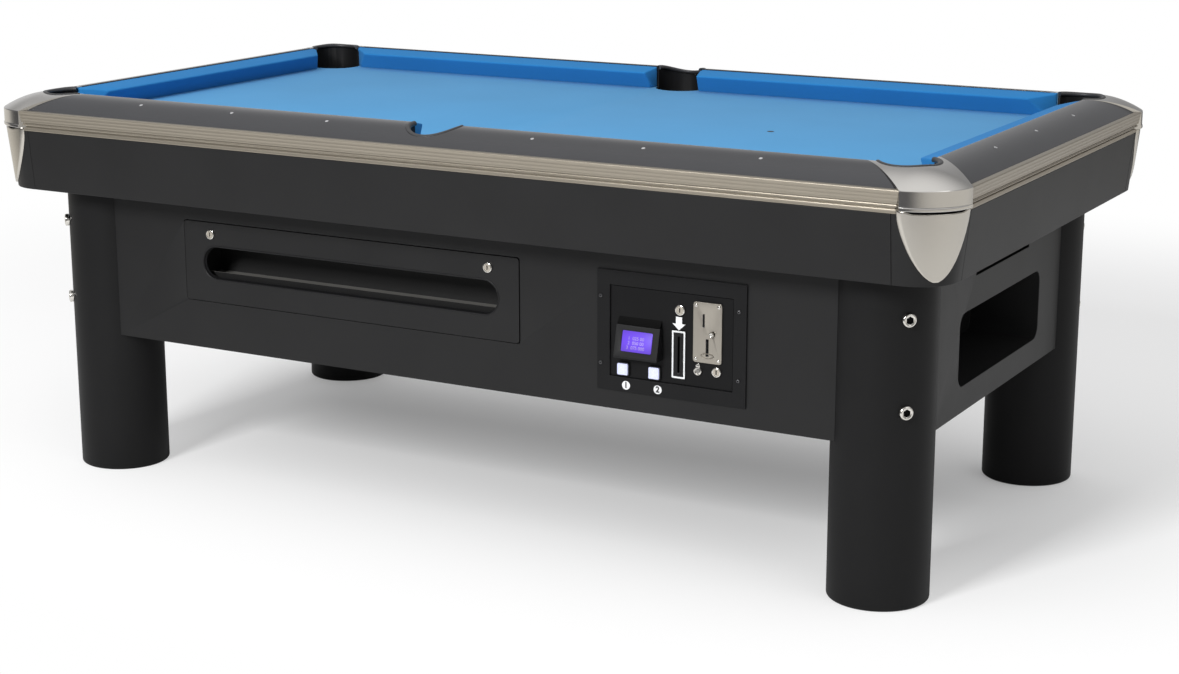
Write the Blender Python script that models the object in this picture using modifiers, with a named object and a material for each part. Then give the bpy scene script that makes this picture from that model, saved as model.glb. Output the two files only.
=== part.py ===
"""Coin-operated pool table, seven-foot size, modelled as separate parts.

Metres, +Z up. The origin is on the floor under the middle of the table. The long side
with the coin door and the ball window faces -Y, and the coin door is near the +X end.
"""
import math

import bmesh
import bpy
from mathutils import Matrix, Vector

# Fits
FIT = 0.0003
DOOR_GAP = 0.0015

# Playing field, measured between the cushion noses
FIELD_LENGTH = 1.9304
FIELD_WIDTH = 0.9652
BED_HEIGHT = 0.802
CLOTH_THICKNESS = 0.0012
SLATE_THICKNESS = 0.022
SLATE_MARGIN = 0.061

# Cushions: distances outward from the nose, heights above the bed
NOSE_RISE = 0.0363
NOSE_ROUND = 0.003
CUSHION_FOOT = 0.022
CUSHION_BACK_RISE = 0.0475
CORNER_MOUTH = 0.120
CORNER_FACING = math.radians(39.0)
SIDE_MOUTH = 0.137
SIDE_FACING = math.radians(76.0)

# Rails: distances outward from the nose, heights above the bed
RAIL_INNER = 0.048
RAIL_OUTER = 0.1385
RAIL_RISE = 0.0500
RAIL_EDGE_RISE = 0.0185
RAIL_DROP = 0.0252
CROWN_STEPS = 6

# Metal trim along the rails and castings at the corners
TRIM_THICKNESS = 0.0135
TRIM_LEAN = 0.0072
TRIM_GROOVE = 0.0035
TRIM_BAND = 0.0215
TRIM_BEAD = 0.0050
CASTING_HALF_WIDTH = 0.0705
CASTING_PROUD = 0.0008
SHIELD_THICKNESS = 0.0042
SHIELD_SLIT = 0.0032
SHIELD_SLIT_DEPTH = 0.0045
SHIELD_LIP = 0.0070
SHIELD_TIP = 0.0080
SHIELD_TAPER = 1.6
SHIELD_FULLNESS = 0.68
CORNER_STEPS = 10

# Apron under the rails
APRON_THICKNESS = 0.016
APRON_HEIGHT = 0.1305
APRON_SETBACK = 0.0085
APRON_TAPER = 0.0135
APRON_SEAM = 0.0345

# Pockets: the distance of each centre outward from the nose line
POCKET_RADIUS = 0.060
POCKET_WALL = 0.004
CORNER_POCKET_OUT = 0.018
SIDE_POCKET_OUT = 0.056
LINER_DEPTH = 0.112
LINER_FLOOR = 0.008
LINER_EXIT_WIDTH = 0.068
LINER_EXIT_HEIGHT = 0.064
LINER_PROUD = 0.0008

# Cabinet, hung under the slate; heights of what is in it are above its lower edge
CABINET_MARGIN = 0.035
CABINET_HEIGHT = 0.4638
PANEL_THICKNESS = 0.025
END_OPENING_WIDTH = 0.486
END_OPENING_RISE = 0.0541
END_OPENING_HEIGHT = 0.147
END_OPENING_ROUND = 0.026
END_RECESS_DEPTH = 0.150
END_RECESS_WALL = 0.006
END_SLOT_WIDTH = 0.320
END_SLOT_DROP = 0.035
END_SLOT_HEIGHT = 0.032

# Legs, their brackets and bolts
LEG_RADIUS = 0.0985
LEG_PROUD = 0.0255
LEG_UNDER_LINER = 0.005
LEG_FOOT_BEVEL = 0.006
BOLT_RADIUS = 0.007
BOLT_HEAD_RADIUS = 0.0135
BOLT_HEAD_HEIGHT = 0.009
BOLT_SOCKET_RADIUS = 0.0075
BOLT_SOCKET_DEPTH = 0.006
BOLT_RISES = (0.0741, 0.2486)
LEG_FLAT = 0.020
BRACKET_THICKNESS = 0.018
BRACKET_RISE = 0.0206
BRACKET_HEIGHT = 0.275

# Ball window door in the front, hinged along its lower edge
WINDOW_CENTRE_X = -0.2445
WINDOW_WIDTH = 0.842
WINDOW_RISE = 0.1056
WINDOW_HEIGHT = 0.174
WINDOW_THICKNESS = 0.012
WINDOW_PROUD = 0.001
WINDOW_STOP = 0.012
WINDOW_ROUND = 0.006
SLOT_WIDTH = 0.746
SLOT_HEIGHT = 0.072
SLOT_END_STEPS = 8
SLOT_RISE = 0.0866
WINDOW_LOCK_INSET = 0.0713
WINDOW_LOCK_DROP = 0.0253

# Key locks
LOCK_BARREL = 0.0090
LOCK_HEAD = 0.0105
LOCK_HEAD_THICKNESS = 0.004
LOCK_CAM_LENGTH = 0.032
LOCK_CAM_WIDTH = 0.012
LOCK_CAM_THICKNESS = 0.0025
KEYWAY_WIDTH = 0.0022
KEYWAY_HEIGHT = 0.009
KEYWAY_DEPTH = 0.003

# Coin unit in the front: frame with a steel box behind it, and its door
COIN_CENTRE_X = 0.5172
COIN_FRAME_SIDE = 0.029
COIN_FRAME_FOOT = 0.030
COIN_FRAME_HEAD = 0.031
COIN_FRAME_THICKNESS = 0.004
COIN_DOOR_WIDTH = 0.263
COIN_DOOR_RISE = 0.0686
COIN_DOOR_HEIGHT = 0.180
COIN_DOOR_THICKNESS = 0.004
COIN_DOOR_RECESS = 0.003
COIN_STOP = 0.008
COIN_STOP_THICKNESS = 0.003
COIN_BOX_DEPTH = 0.270
COIN_BOX_WALL = 0.0025
COIN_LOCK_X = 0.0200
COIN_LOCK_DROP = 0.033
COIN_LOCK_CAM_LENGTH = 0.036

# Display on the coin door; places across are from the door's middle, heights from its foot
DISPLAY_X = -0.0660
DISPLAY_RISE = 0.0425
DISPLAY_WIDTH = 0.095
DISPLAY_HEIGHT = 0.0645
DISPLAY_FOOT_DEPTH = 0.024
DISPLAY_HEAD_DEPTH = 0.010
DISPLAY_TOE = 0.004
SCREEN_WIDTH = 0.066
SCREEN_HEIGHT = 0.041
SCREEN_DEPTH = 0.002

# Lit push buttons under the display
BUTTON_XS = (-0.1026, -0.0339)
BUTTON_RISE = 0.0160
BUTTON_SIDE = 0.023
BUTTON_CAP = 0.004
BUTTON_SHANK = 0.014
BUTTON_SHANK_LENGTH = 0.016
BUTTON_TRAVEL = 0.003

# Bill acceptor
BILL_X = 0.0175
BILL_RISE = 0.0120
BILL_WIDTH = 0.0285
BILL_HEIGHT = 0.0940
BILL_PROUD = 0.0020
BILL_BODY_DEPTH = 0.085
BILL_BODY_MARGIN = 0.003
BILL_SLOT_WIDTH = 0.0045
BILL_SLOT_HEIGHT = 0.072
BILL_SLOT_DEPTH = 0.030

# Coin plate with the coin mechanism behind it; what is in it is placed from its middle
COIN_PLATE_X = 0.0790
COIN_PLATE_DROP = 0.0120
COIN_PLATE_WIDTH = 0.0605
COIN_PLATE_HEIGHT = 0.1184
COIN_PLATE_THICKNESS = 0.003
COIN_PLATE_ROUND = 0.005
COIN_MECH_MARGIN = 0.009
COIN_MECH_DEPTH = 0.060
COIN_ENTRY_X = -0.0082
COIN_ENTRY_Z = 0.0232
COIN_ENTRY_WIDTH = 0.0042
COIN_ENTRY_HEIGHT = 0.026
COIN_ENTRY_DEPTH = 0.030
COIN_RETURN_X = -0.0002
COIN_RETURN_Z = -0.0290
COIN_RETURN_WIDTH = 0.0060
COIN_RETURN_HEIGHT = 0.034
COIN_RETURN_DEPTH = 0.024

# Reject button on the coin plate
REJECT_X = 0.0108
REJECT_Z = -0.0012
REJECT_RADIUS = 0.0050
REJECT_PROUD = 0.007
REJECT_LENGTH = 0.018
REJECT_TRAVEL = 0.004

# Ball return: a sloping floor, a drop and the tray behind the window
RUNWAY_SHEET = 0.003
RUNWAY_SIDE_MARGIN = 0.012
RUNWAY_CLEAR = 0.006
RUNWAY_FALL = 0.052
RUNWAY_FENCE = 0.045
TRAY_END = 0.027
TRAY_END_HEIGHT = 0.060
TRAY_WIDTH = 0.066
TRAY_DROP = 0.0016
TRAY_LIP = 0.012
TRAY_BACK_SLOPE = 0.0163

# Release gate along the front edge of the sloping floor
GATE_INSET = 0.010
GATE_HEIGHT = 0.034
GATE_THICKNESS = 0.003
GATE_ROD_RADIUS = 0.004
GATE_ROD_CLEAR = 0.0005

# Sides of the round pieces
SIDES_LARGE = 48
SIDES_MEDIUM = 32
SIDES_SMALL = 20
SIDES_HEXAGON = 6

# Worked out from the values above
HALF_LENGTH = FIELD_LENGTH / 2
HALF_WIDTH = FIELD_WIDTH / 2
SLATE_TOP = BED_HEIGHT - CLOTH_THICKNESS - FIT
SLATE_BOTTOM = SLATE_TOP - SLATE_THICKNESS
CABINET_X = HALF_LENGTH + CABINET_MARGIN
CABINET_Y = HALF_WIDTH + CABINET_MARGIN
CABINET_TOP = SLATE_BOTTOM - FIT
CABINET_BOTTOM = CABINET_TOP - CABINET_HEIGHT
LEG_INSET = LEG_RADIUS - LEG_PROUD
LEG_X = CABINET_X - LEG_INSET
LEG_Y = CABINET_Y - LEG_INSET
LINER_BOTTOM = BED_HEIGHT - LINER_DEPTH
LEG_TOP = LINER_BOTTOM - LEG_UNDER_LINER
BRACKET_LOW = CABINET_BOTTOM + BRACKET_RISE
RAIL_BOTTOM = BED_HEIGHT - RAIL_DROP
RAIL_HOOK = SLATE_MARGIN + FIT
RAIL_SEAT = BED_HEIGHT + FIT
TRIM_OUTER = RAIL_OUTER + TRIM_THICKNESS
TRIM_TOP = BED_HEIGHT + RAIL_EDGE_RISE
CASTING_OUTER = TRIM_OUTER + CASTING_PROUD
CASTING_EDGE = CASTING_OUTER - TRIM_GROOVE
APRON_TOP_OUTER = TRIM_OUTER - APRON_SETBACK
APRON_TOP = RAIL_BOTTOM - FIT
APRON_LOW = APRON_TOP - APRON_HEIGHT
FRONT_FACE = -CABINET_Y
FRONT_INSIDE = FRONT_FACE + PANEL_THICKNESS
END_OPENING_LOW = CABINET_BOTTOM + END_OPENING_RISE
WINDOW_FACE = FRONT_FACE - WINDOW_PROUD
WINDOW_BACK = WINDOW_FACE + WINDOW_THICKNESS
WINDOW_LOW = CABINET_BOTTOM + WINDOW_RISE
WINDOW_MIDDLE = WINDOW_LOW + WINDOW_HEIGHT / 2
SLOT_MIDDLE = WINDOW_LOW + SLOT_RISE
COIN_FRAME_FACE = FRONT_FACE - FIT - COIN_FRAME_THICKNESS
DOOR_FACE = COIN_FRAME_FACE + COIN_DOOR_RECESS
DOOR_BACK = DOOR_FACE + COIN_DOOR_THICKNESS
DOOR_LOW = CABINET_BOTTOM + COIN_DOOR_RISE
DOOR_TOP = DOOR_LOW + COIN_DOOR_HEIGHT
DOOR_MIDDLE = DOOR_LOW + COIN_DOOR_HEIGHT / 2
DOOR_LEFT = COIN_CENTRE_X - COIN_DOOR_WIDTH / 2
TRAY_FRONT = FRONT_INSIDE + FIT
TRAY_BACK = TRAY_FRONT + TRAY_WIDTH
TRAY_FLOOR = SLOT_MIDDLE - SLOT_HEIGHT / 2 - TRAY_DROP
TRAY_LENGTH = SLOT_WIDTH + 2 * TRAY_END
RUNWAY_FRONT_Y = TRAY_BACK + TRAY_BACK_SLOPE
RUNWAY_BACK_Y = CABINET_Y - PANEL_THICKNESS - FIT
RUNWAY_BACK_Z = LINER_BOTTOM - RUNWAY_CLEAR
RUNWAY_FRONT_Z = RUNWAY_BACK_Z - RUNWAY_FALL
GATE_LENGTH = TRAY_LENGTH - 2 * GATE_INSET

CORNERS = {
    "front_left": (-1, -1),
    "front_right": (1, -1),
    "rear_right": (1, 1),
    "rear_left": (-1, 1),
}
SIDES = {
    "front": (-90.0, HALF_WIDTH, HALF_LENGTH),
    "right": (0.0, HALF_LENGTH, HALF_WIDTH),
    "rear": (90.0, HALF_WIDTH, HALF_LENGTH),
    "left": (180.0, HALF_LENGTH, HALF_WIDTH),
}

BLACK = (0.030, 0.030, 0.032)
COLOURS = {
    "black_paint": (BLACK, 0.45, 0.0),
    "rail_laminate": ((0.095, 0.095, 0.100), 0.35, 0.0),
    "nickel": ((0.62, 0.60, 0.56), 0.28, 1.0),
    "aluminium": ((0.52, 0.48, 0.41), 0.35, 1.0),
    "blue_cloth": ((0.075, 0.300, 0.610), 0.9, 0.0),
    "slate": ((0.160, 0.165, 0.175), 0.8, 0.0),
    "black_rubber": ((0.012, 0.012, 0.012), 0.6, 0.0),
    "chrome": ((0.75, 0.75, 0.75), 0.12, 1.0),
    "steel": ((0.50, 0.50, 0.50), 0.40, 1.0),
    "black_steel": ((0.022, 0.022, 0.024), 0.40, 0.0),
    "display": ((0.030, 0.020, 0.090), 0.25, 0.0),
    "lit_white": ((0.80, 0.82, 0.86), 0.35, 0.0),
    "grey_sheet": ((0.230, 0.225, 0.215), 0.55, 0.0),
}


def clear_scene():
    for obj in list(bpy.data.objects):
        bpy.data.objects.remove(obj, do_unlink=True)


def new_collection(name):
    collection = bpy.data.collections.new(name)
    bpy.context.scene.collection.children.link(collection)
    return collection


def material(finish):
    """The Principled material of one finish, made on its first use."""
    found = bpy.data.materials.get(finish)
    if found:
        return found
    colour, roughness, metallic = COLOURS[finish]
    made = bpy.data.materials.new(finish)
    made.use_nodes = True
    shader = made.node_tree.nodes["Principled BSDF"]
    shader.inputs["Base Color"].default_value = (*colour, 1.0)
    shader.inputs["Roughness"].default_value = roughness
    shader.inputs["Metallic"].default_value = metallic
    made.diffuse_color = (*colour, 1.0)
    return made


def add_object(name, mesh, location=(0, 0, 0), turn=(0, 0, 0)):
    obj = bpy.data.objects.new(name, mesh)
    obj.location = location
    obj.rotation_euler = turn
    CUTTERS.objects.link(obj)
    obj.hide_render = True
    obj.display_type = 'WIRE'
    return obj


def finish_part(obj, finish, smooth_angle=32.0):
    """Turn a shape into a part of the table with its own finish."""
    CUTTERS.objects.unlink(obj)
    PARTS.objects.link(obj)
    obj.hide_render = False
    obj.display_type = 'TEXTURED'
    obj.data.materials.clear()
    obj.data.materials.append(material(finish))
    obj.data.shade_smooth()
    obj.data.set_sharp_from_angle(angle=math.radians(smooth_angle))
    return obj


def set_origin(obj, point):
    """Put the object's origin on a point, with its shape left where it is."""
    shift = Matrix.Translation(Vector(point)).inverted() @ obj.matrix_basis
    obj.data.transform(shift)
    obj.matrix_basis = Matrix.Translation(Vector(point))
    return obj


def mesh_from(bm, name):
    bmesh.ops.recalc_face_normals(bm, faces=bm.faces)
    mesh = bpy.data.meshes.new(name)
    bm.to_mesh(mesh)
    bm.free()
    return mesh


def block(name, low, high):
    """A box between two corners."""
    low = Vector(low)
    high = Vector(high)
    bm = bmesh.new()
    bmesh.ops.create_cube(bm, size=1.0)
    bmesh.ops.scale(bm, vec=high - low, verts=bm.verts)
    return add_object(name, mesh_from(bm, name), (low + high) / 2)


def cylinder(name, radius, length, location, turn=(0, 0, 0), segments=SIDES_LARGE):
    """A cylinder along its own Z, centred on its location."""
    bm = bmesh.new()
    bmesh.ops.create_cone(bm, cap_ends=True, segments=segments,
                          radius1=radius, radius2=radius, depth=length)
    return add_object(name, mesh_from(bm, name), location, turn)


def arc(centre, radius, start, end, steps):
    """Points along an arc; angles in degrees."""
    points = []
    for i in range(steps + 1):
        angle = math.radians(start + (end - start) * i / steps)
        points.append((centre[0] + radius * math.cos(angle), centre[1] + radius * math.sin(angle)))
    return points


def rounded_rectangle(width, height, radius, steps=4):
    """A rectangle about the origin with round corners."""
    points = []
    for quarter, (sx, sy) in enumerate(((1, 1), (-1, 1), (-1, -1), (1, -1))):
        centre = (sx * (width / 2 - radius), sy * (height / 2 - radius))
        points += arc(centre, radius, 90 * quarter, 90 * quarter + 90, steps)
    return points


def prism(name, outline, thickness, location=(0, 0, 0), turn=(0, 0, 0)):
    """A flat outline in its own XY plane, extruded evenly along its own Z."""
    curve = bpy.data.curves.new(name, 'CURVE')
    curve.dimensions = '2D'
    curve.fill_mode = 'BOTH'
    curve.extrude = thickness / 2
    spline = curve.splines.new('POLY')
    spline.points.add(len(outline) - 1)
    for point, (x, y) in zip(spline.points, outline):
        point.co = (x, y, 0.0, 1.0)
    spline.use_cyclic_u = True
    flat = bpy.data.objects.new(name + "_outline", curve)
    bpy.context.scene.collection.objects.link(flat)
    evaluated = flat.evaluated_get(bpy.context.evaluated_depsgraph_get())
    mesh = bpy.data.meshes.new_from_object(evaluated)
    bpy.data.objects.remove(flat, do_unlink=True)
    bpy.data.curves.remove(curve)
    bm = bmesh.new()
    bm.from_mesh(mesh)
    bpy.data.meshes.remove(mesh)
    bmesh.ops.remove_doubles(bm, verts=bm.verts, dist=1e-6)
    bmesh.ops.dissolve_limit(bm, angle_limit=math.radians(0.05), verts=bm.verts, edges=bm.edges)
    return add_object(name, mesh_from(bm, name), location, turn)


def front_prism(name, outline, y_front, y_back, x=0.0, z=0.0):
    """An outline across the front (X to the right, Y up), between two depths."""
    middle = (y_front + y_back) / 2
    return prism(name, outline, y_back - y_front, (x, middle, z), (math.radians(90), 0, 0))


def front_block(name, x, z, width, height, y_front, y_back):
    """A box centred on a place on the front, between two depths."""
    return block(name, (x - width / 2, y_front, z - height / 2),
                 (x + width / 2, y_back, z + height / 2))


def boolean(obj, operation, tools):
    for tool in tools:
        modifier = obj.modifiers.new(operation.lower() + "_" + tool.name, 'BOOLEAN')
        modifier.operation = operation
        modifier.object = tool
        modifier.solver = 'EXACT'
    return obj


def cut(obj, *tools):
    return boolean(obj, 'DIFFERENCE', tools)


def join(obj, *tools):
    return boolean(obj, 'UNION', tools)


def diagonal_angle(corner):
    sx, sy = CORNERS[corner]
    return math.atan2(sy, sx)


def nose_corner(corner, height=0.0):
    sx, sy = CORNERS[corner]
    return Vector((sx * HALF_LENGTH, sy * HALF_WIDTH, height))


def corner_pocket_centre(corner):
    sx, sy = CORNERS[corner]
    return (sx * (HALF_LENGTH + CORNER_POCKET_OUT), sy * (HALF_WIDTH + CORNER_POCKET_OUT))


def side_pocket_centre(side):
    return (0.0, SIDES[side][0] / 90.0 * (HALF_WIDTH + SIDE_POCKET_OUT))


def pocket_centres():
    """Every pocket's name and centre."""
    centres = {"corner_" + corner: corner_pocket_centre(corner) for corner in CORNERS}
    for side in ("front", "rear"):
        centres["side_" + side] = side_pocket_centre(side)
    return centres


def pocket_cutters():
    """Tall round cutters, one on each pocket, a fit larger than the liner."""
    cutters = {}
    for name, (x, y) in pocket_centres().items():
        cutters[name] = cylinder("cut_pocket_" + name, POCKET_RADIUS + FIT, 2 * LINER_DEPTH,
                                 (x, y, BED_HEIGHT))
    return cutters


def side_extrusion(name, section, side, half_run):
    """A section of (distance out from the nose, height), run along one side of the field."""
    angle, out, _ = SIDES[side]
    turn = math.radians(angle)
    place = (out * math.cos(turn), out * math.sin(turn), 0.0)
    return prism(name, section, 2 * half_run, place, (math.radians(90), 0, turn))


def corner_sweep(name, section, straight):
    """A section of (distance out, height) run round a corner, diagonal along +X.

    The corner's round has its centre on the rails' inner edge, so a section that starts
    there turns on the spot.
    """
    centre = Vector((RAIL_INNER * math.sqrt(2), 0, 0))
    start = math.radians(-45)
    bm = bmesh.new()
    points = []
    for out, height in section:
        reach = out - RAIL_INNER
        points.append(centre + Vector((reach * math.cos(start), reach * math.sin(start), height)))
    run = Vector((-math.sin(start), math.cos(start), 0)) * straight
    face = bm.faces.new([bm.verts.new(point - run) for point in points])
    step = Matrix.Rotation(math.radians(90 / CORNER_STEPS), 4, 'Z')
    about = Matrix.Translation(centre) @ step @ Matrix.Translation(-centre)
    end_run = Matrix.Rotation(math.radians(90), 4, 'Z') @ run
    moves = [Matrix.Translation(run)] + [about] * CORNER_STEPS + [Matrix.Translation(end_run)]
    first = face
    for move in moves:
        made = bmesh.ops.extrude_face_region(bm, geom=[face])["geom"]
        if face is not first:
            bmesh.ops.delete(bm, geom=[face], context='FACES_ONLY')
        face = next(item for item in made if isinstance(item, bmesh.types.BMFace))
        bmesh.ops.transform(bm, matrix=move, verts=list(face.verts))
    return add_object(name, mesh_from(bm, name))


def crown(outer, outer_height, above=0.0):
    """The rail's convex top from its inner edge out to a given edge."""
    top = BED_HEIGHT + RAIL_RISE
    points = []
    for i in range(CROWN_STEPS + 1):
        share = i / CROWN_STEPS
        out = RAIL_INNER + share * (outer - RAIL_INNER)
        points.append((out, above + top - share ** 2 * (top - outer_height)))
    return points


def apron_outer(height):
    """Distance out of the apron's face at a height."""
    return APRON_TOP_OUTER - APRON_TAPER * (APRON_TOP - height) / APRON_HEIGHT


def casting_end_cutter(name, side, end):
    """A block beyond the joint between a rail and the corner casting."""
    corner_x = {"front": end, "rear": -end, "right": 1, "left": -1}[side]
    corner_y = {"front": -1, "rear": 1, "right": end, "left": -end}[side]
    diagonal = math.atan2(corner_y, corner_x)
    across = Vector((-math.sin(diagonal), math.cos(diagonal), 0))
    angle = math.radians(SIDES[side][0])
    along = Vector((-math.sin(angle), math.cos(angle), 0)) * end
    if across.dot(along) < 0:
        across = -across
    reach = FIELD_WIDTH
    start = -(CASTING_HALF_WIDTH + FIT)
    cutter = block(name, (-reach, start, 0), (reach, start + reach, 2 * BED_HEIGHT))
    middle = cutter.location.copy()
    corner = Vector((corner_x * HALF_LENGTH, corner_y * HALF_WIDTH, 0))
    axis = Vector((math.cos(diagonal), math.sin(diagonal), 0))
    cutter.location = corner + axis * middle.x + across * middle.y + Vector((0, 0, middle.z))
    cutter.rotation_euler = (0, 0, diagonal)
    return cutter


def build_legs():
    """Round legs with a flat inside, where two bolts hold a bracket that stands on a shoulder."""
    for corner, (sx, sy) in CORNERS.items():
        foot = Vector((sx * LEG_X, sy * LEG_Y, 0))
        leg = cylinder("leg_" + corner, LEG_RADIUS, LEG_TOP, foot + Vector((0, 0, LEG_TOP / 2)))
        bevel = leg.modifiers.new("foot_edge", 'BEVEL')
        bevel.width = LEG_FOOT_BEVEL
        bevel.segments = 2
        bevel.limit_method = 'ANGLE'
        cut(leg, leg_flat_cutter(corner, foot))
        bracket = leg_bracket(corner, foot)
        for count, rise in enumerate(BOLT_RISES):
            add_leg_bolt(corner + "_" + str(count), corner, foot + Vector((0, 0, CABINET_BOTTOM + rise)),
                         leg, bracket)
        finish_part(leg, "black_paint")
        finish_part(bracket, "chrome")


def leg_flat_cutter(corner, foot):
    """Takes the inner side off a leg above the shoulder."""
    middle = foot + Vector((0, 0, BRACKET_LOW - FIT + LEG_TOP / 2))
    reach = 2 * LEG_RADIUS
    outline = [(-LEG_FLAT, reach), (-reach, reach), (-reach, -reach), (-LEG_FLAT, -reach)]
    return prism("cut_flat_" + corner, outline, LEG_TOP, middle, (0, 0, diagonal_angle(corner)))


def leg_bracket(corner, foot):
    """A board across the inside of the corner, between the two panels."""
    face = -(LEG_FLAT + FIT)
    back = face - BRACKET_THICKNESS
    half = math.sqrt(2) * (LEG_INSET - PANEL_THICKNESS - FIT) - face
    half_back = half + BRACKET_THICKNESS
    outline = [(face, half), (face, -half), (back, -half_back), (back, half_back)]
    middle = foot + Vector((0, 0, BRACKET_LOW + BRACKET_HEIGHT / 2))
    return prism("leg_bracket_" + corner, outline, BRACKET_HEIGHT, middle, (0, 0, diagonal_angle(corner)))


def add_leg_bolt(tag, corner, place, leg, bracket):
    """One bolt with a hexagon socket, from the leg's outer side into the bracket."""
    angle = diagonal_angle(corner)
    axis = Vector((math.cos(angle), math.sin(angle), 0))
    lie = (0, math.radians(90), angle)
    start = -(LEG_FLAT + FIT + BRACKET_THICKNESS / 2)
    end = LEG_RADIUS + BOLT_HEAD_HEIGHT / 2
    length = end - start
    centre = place + axis * (start + end) / 2
    head_place = place + axis * (LEG_RADIUS + FIT + BOLT_HEAD_HEIGHT / 2)
    socket_place = head_place + axis * BOLT_HEAD_HEIGHT / 2
    cut(leg, cylinder("cut_bolt_" + tag, BOLT_RADIUS + FIT, 2 * length, centre, lie, SIDES_SMALL))
    shank = cylinder("bolt_shank_" + tag, BOLT_RADIUS, length, centre, lie, SIDES_SMALL)
    head = cylinder("bolt_head_" + tag, BOLT_HEAD_RADIUS, BOLT_HEAD_HEIGHT, head_place, lie, SIDES_MEDIUM)
    socket = cylinder("cut_socket_" + tag, BOLT_SOCKET_RADIUS, 2 * BOLT_SOCKET_DEPTH, socket_place, lie,
                      SIDES_HEXAGON)
    join(bracket, shank, head)
    cut(bracket, socket)


def leg_cutters():
    """Tall cylinders a fit larger than the legs, for the panels that meet them."""
    cutters = {}
    for corner, (sx, sy) in CORNERS.items():
        cutters[corner] = cylinder("cut_leg_" + corner, LEG_RADIUS + FIT, 2 * BED_HEIGHT,
                                   (sx * LEG_X, sy * LEG_Y, BED_HEIGHT))
    return cutters


def build_cabinet():
    """Four panels between the legs; the front one takes the window and the coin unit."""
    legs = leg_cutters()
    front = block("cabinet_front", (-LEG_X, -CABINET_Y, CABINET_BOTTOM),
                  (LEG_X, PANEL_THICKNESS - CABINET_Y, CABINET_TOP))
    rear = block("cabinet_rear", (-LEG_X, CABINET_Y - PANEL_THICKNESS, CABINET_BOTTOM),
                 (LEG_X, CABINET_Y, CABINET_TOP))
    right = block("cabinet_end_right", (CABINET_X - PANEL_THICKNESS, -LEG_Y, CABINET_BOTTOM),
                  (CABINET_X, LEG_Y, CABINET_TOP))
    left = block("cabinet_end_left", (-CABINET_X, -LEG_Y, CABINET_BOTTOM),
                 (PANEL_THICKNESS - CABINET_X, LEG_Y, CABINET_TOP))
    cut(front, legs["front_left"], legs["front_right"], pocket_notch("front"))
    cut(rear, legs["rear_left"], legs["rear_right"], pocket_notch("rear"))
    cut(right, legs["front_right"], legs["rear_right"])
    cut(left, legs["front_left"], legs["rear_left"])
    cut(front, *window_openings(), coin_opening())
    join(right, end_recess())
    cut(right, *end_openings())
    for panel in (front, rear, right, left):
        finish_part(panel, "black_paint")


def pocket_notch(side):
    """Room in a long panel's top edge for the side pocket's liner."""
    x, y = side_pocket_centre(side)
    reach = POCKET_RADIUS + FIT
    return block("cut_notch_" + side, (x - reach, y - reach, LINER_BOTTOM - FIT),
                 (x + reach, y + reach, BED_HEIGHT))


def end_recess():
    """The box behind the ball opening in the right end, still solid."""
    reach = END_OPENING_WIDTH / 2 + END_RECESS_WALL
    return block("end_recess", (CABINET_X - END_RECESS_DEPTH - END_RECESS_WALL, -reach,
                                END_OPENING_LOW - END_RECESS_WALL),
                 (CABINET_X - PANEL_THICKNESS / 2, reach,
                  END_OPENING_LOW + END_OPENING_HEIGHT + END_RECESS_WALL))


def end_openings():
    """The ball opening in the right end and the slot under its apron."""
    turn = (math.radians(90), 0, math.radians(90))
    middle = END_OPENING_LOW + END_OPENING_HEIGHT / 2
    outline = rounded_rectangle(END_OPENING_WIDTH, END_OPENING_HEIGHT, END_OPENING_ROUND)
    opening = prism("cut_end_opening", outline, 2 * END_RECESS_DEPTH, (CABINET_X, 0, middle), turn)
    slot_top = APRON_LOW - END_SLOT_DROP
    slot = block("cut_end_slot",
                 (CABINET_X - 2 * PANEL_THICKNESS, -END_SLOT_WIDTH / 2, slot_top - END_SLOT_HEIGHT),
                 (CABINET_X + PANEL_THICKNESS, END_SLOT_WIDTH / 2, slot_top))
    return opening, slot


def window_openings():
    """A rebate for the window door and the smaller hole through the panel behind it."""
    outside = FRONT_FACE - PANEL_THICKNESS
    around = rounded_rectangle(WINDOW_WIDTH + 2 * DOOR_GAP, WINDOW_HEIGHT + 2 * DOOR_GAP, WINDOW_ROUND)
    within = rounded_rectangle(WINDOW_WIDTH - 2 * WINDOW_STOP, WINDOW_HEIGHT - 2 * WINDOW_STOP, WINDOW_ROUND)
    rebate = front_prism("cut_window_rebate", around, outside, WINDOW_BACK + FIT,
                         WINDOW_CENTRE_X, WINDOW_MIDDLE)
    hole = front_prism("cut_window_hole", within, outside, FRONT_INSIDE + PANEL_THICKNESS,
                       WINDOW_CENTRE_X, WINDOW_MIDDLE)
    return rebate, hole


def coin_box_limits(margin):
    """Corners across the front of the steel box behind the coin frame, grown by a margin."""
    reach = COIN_STOP + margin
    half = COIN_DOOR_WIDTH / 2 + reach
    return COIN_CENTRE_X - half, COIN_CENTRE_X + half, DOOR_LOW - reach, DOOR_TOP + reach


def coin_opening():
    """The hole in the front panel that takes the coin unit's box."""
    left, right, low, high = coin_box_limits(FIT)
    return block("cut_coin_opening", (left, FRONT_FACE - PANEL_THICKNESS, low),
                 (right, FRONT_INSIDE + PANEL_THICKNESS, high))


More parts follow.
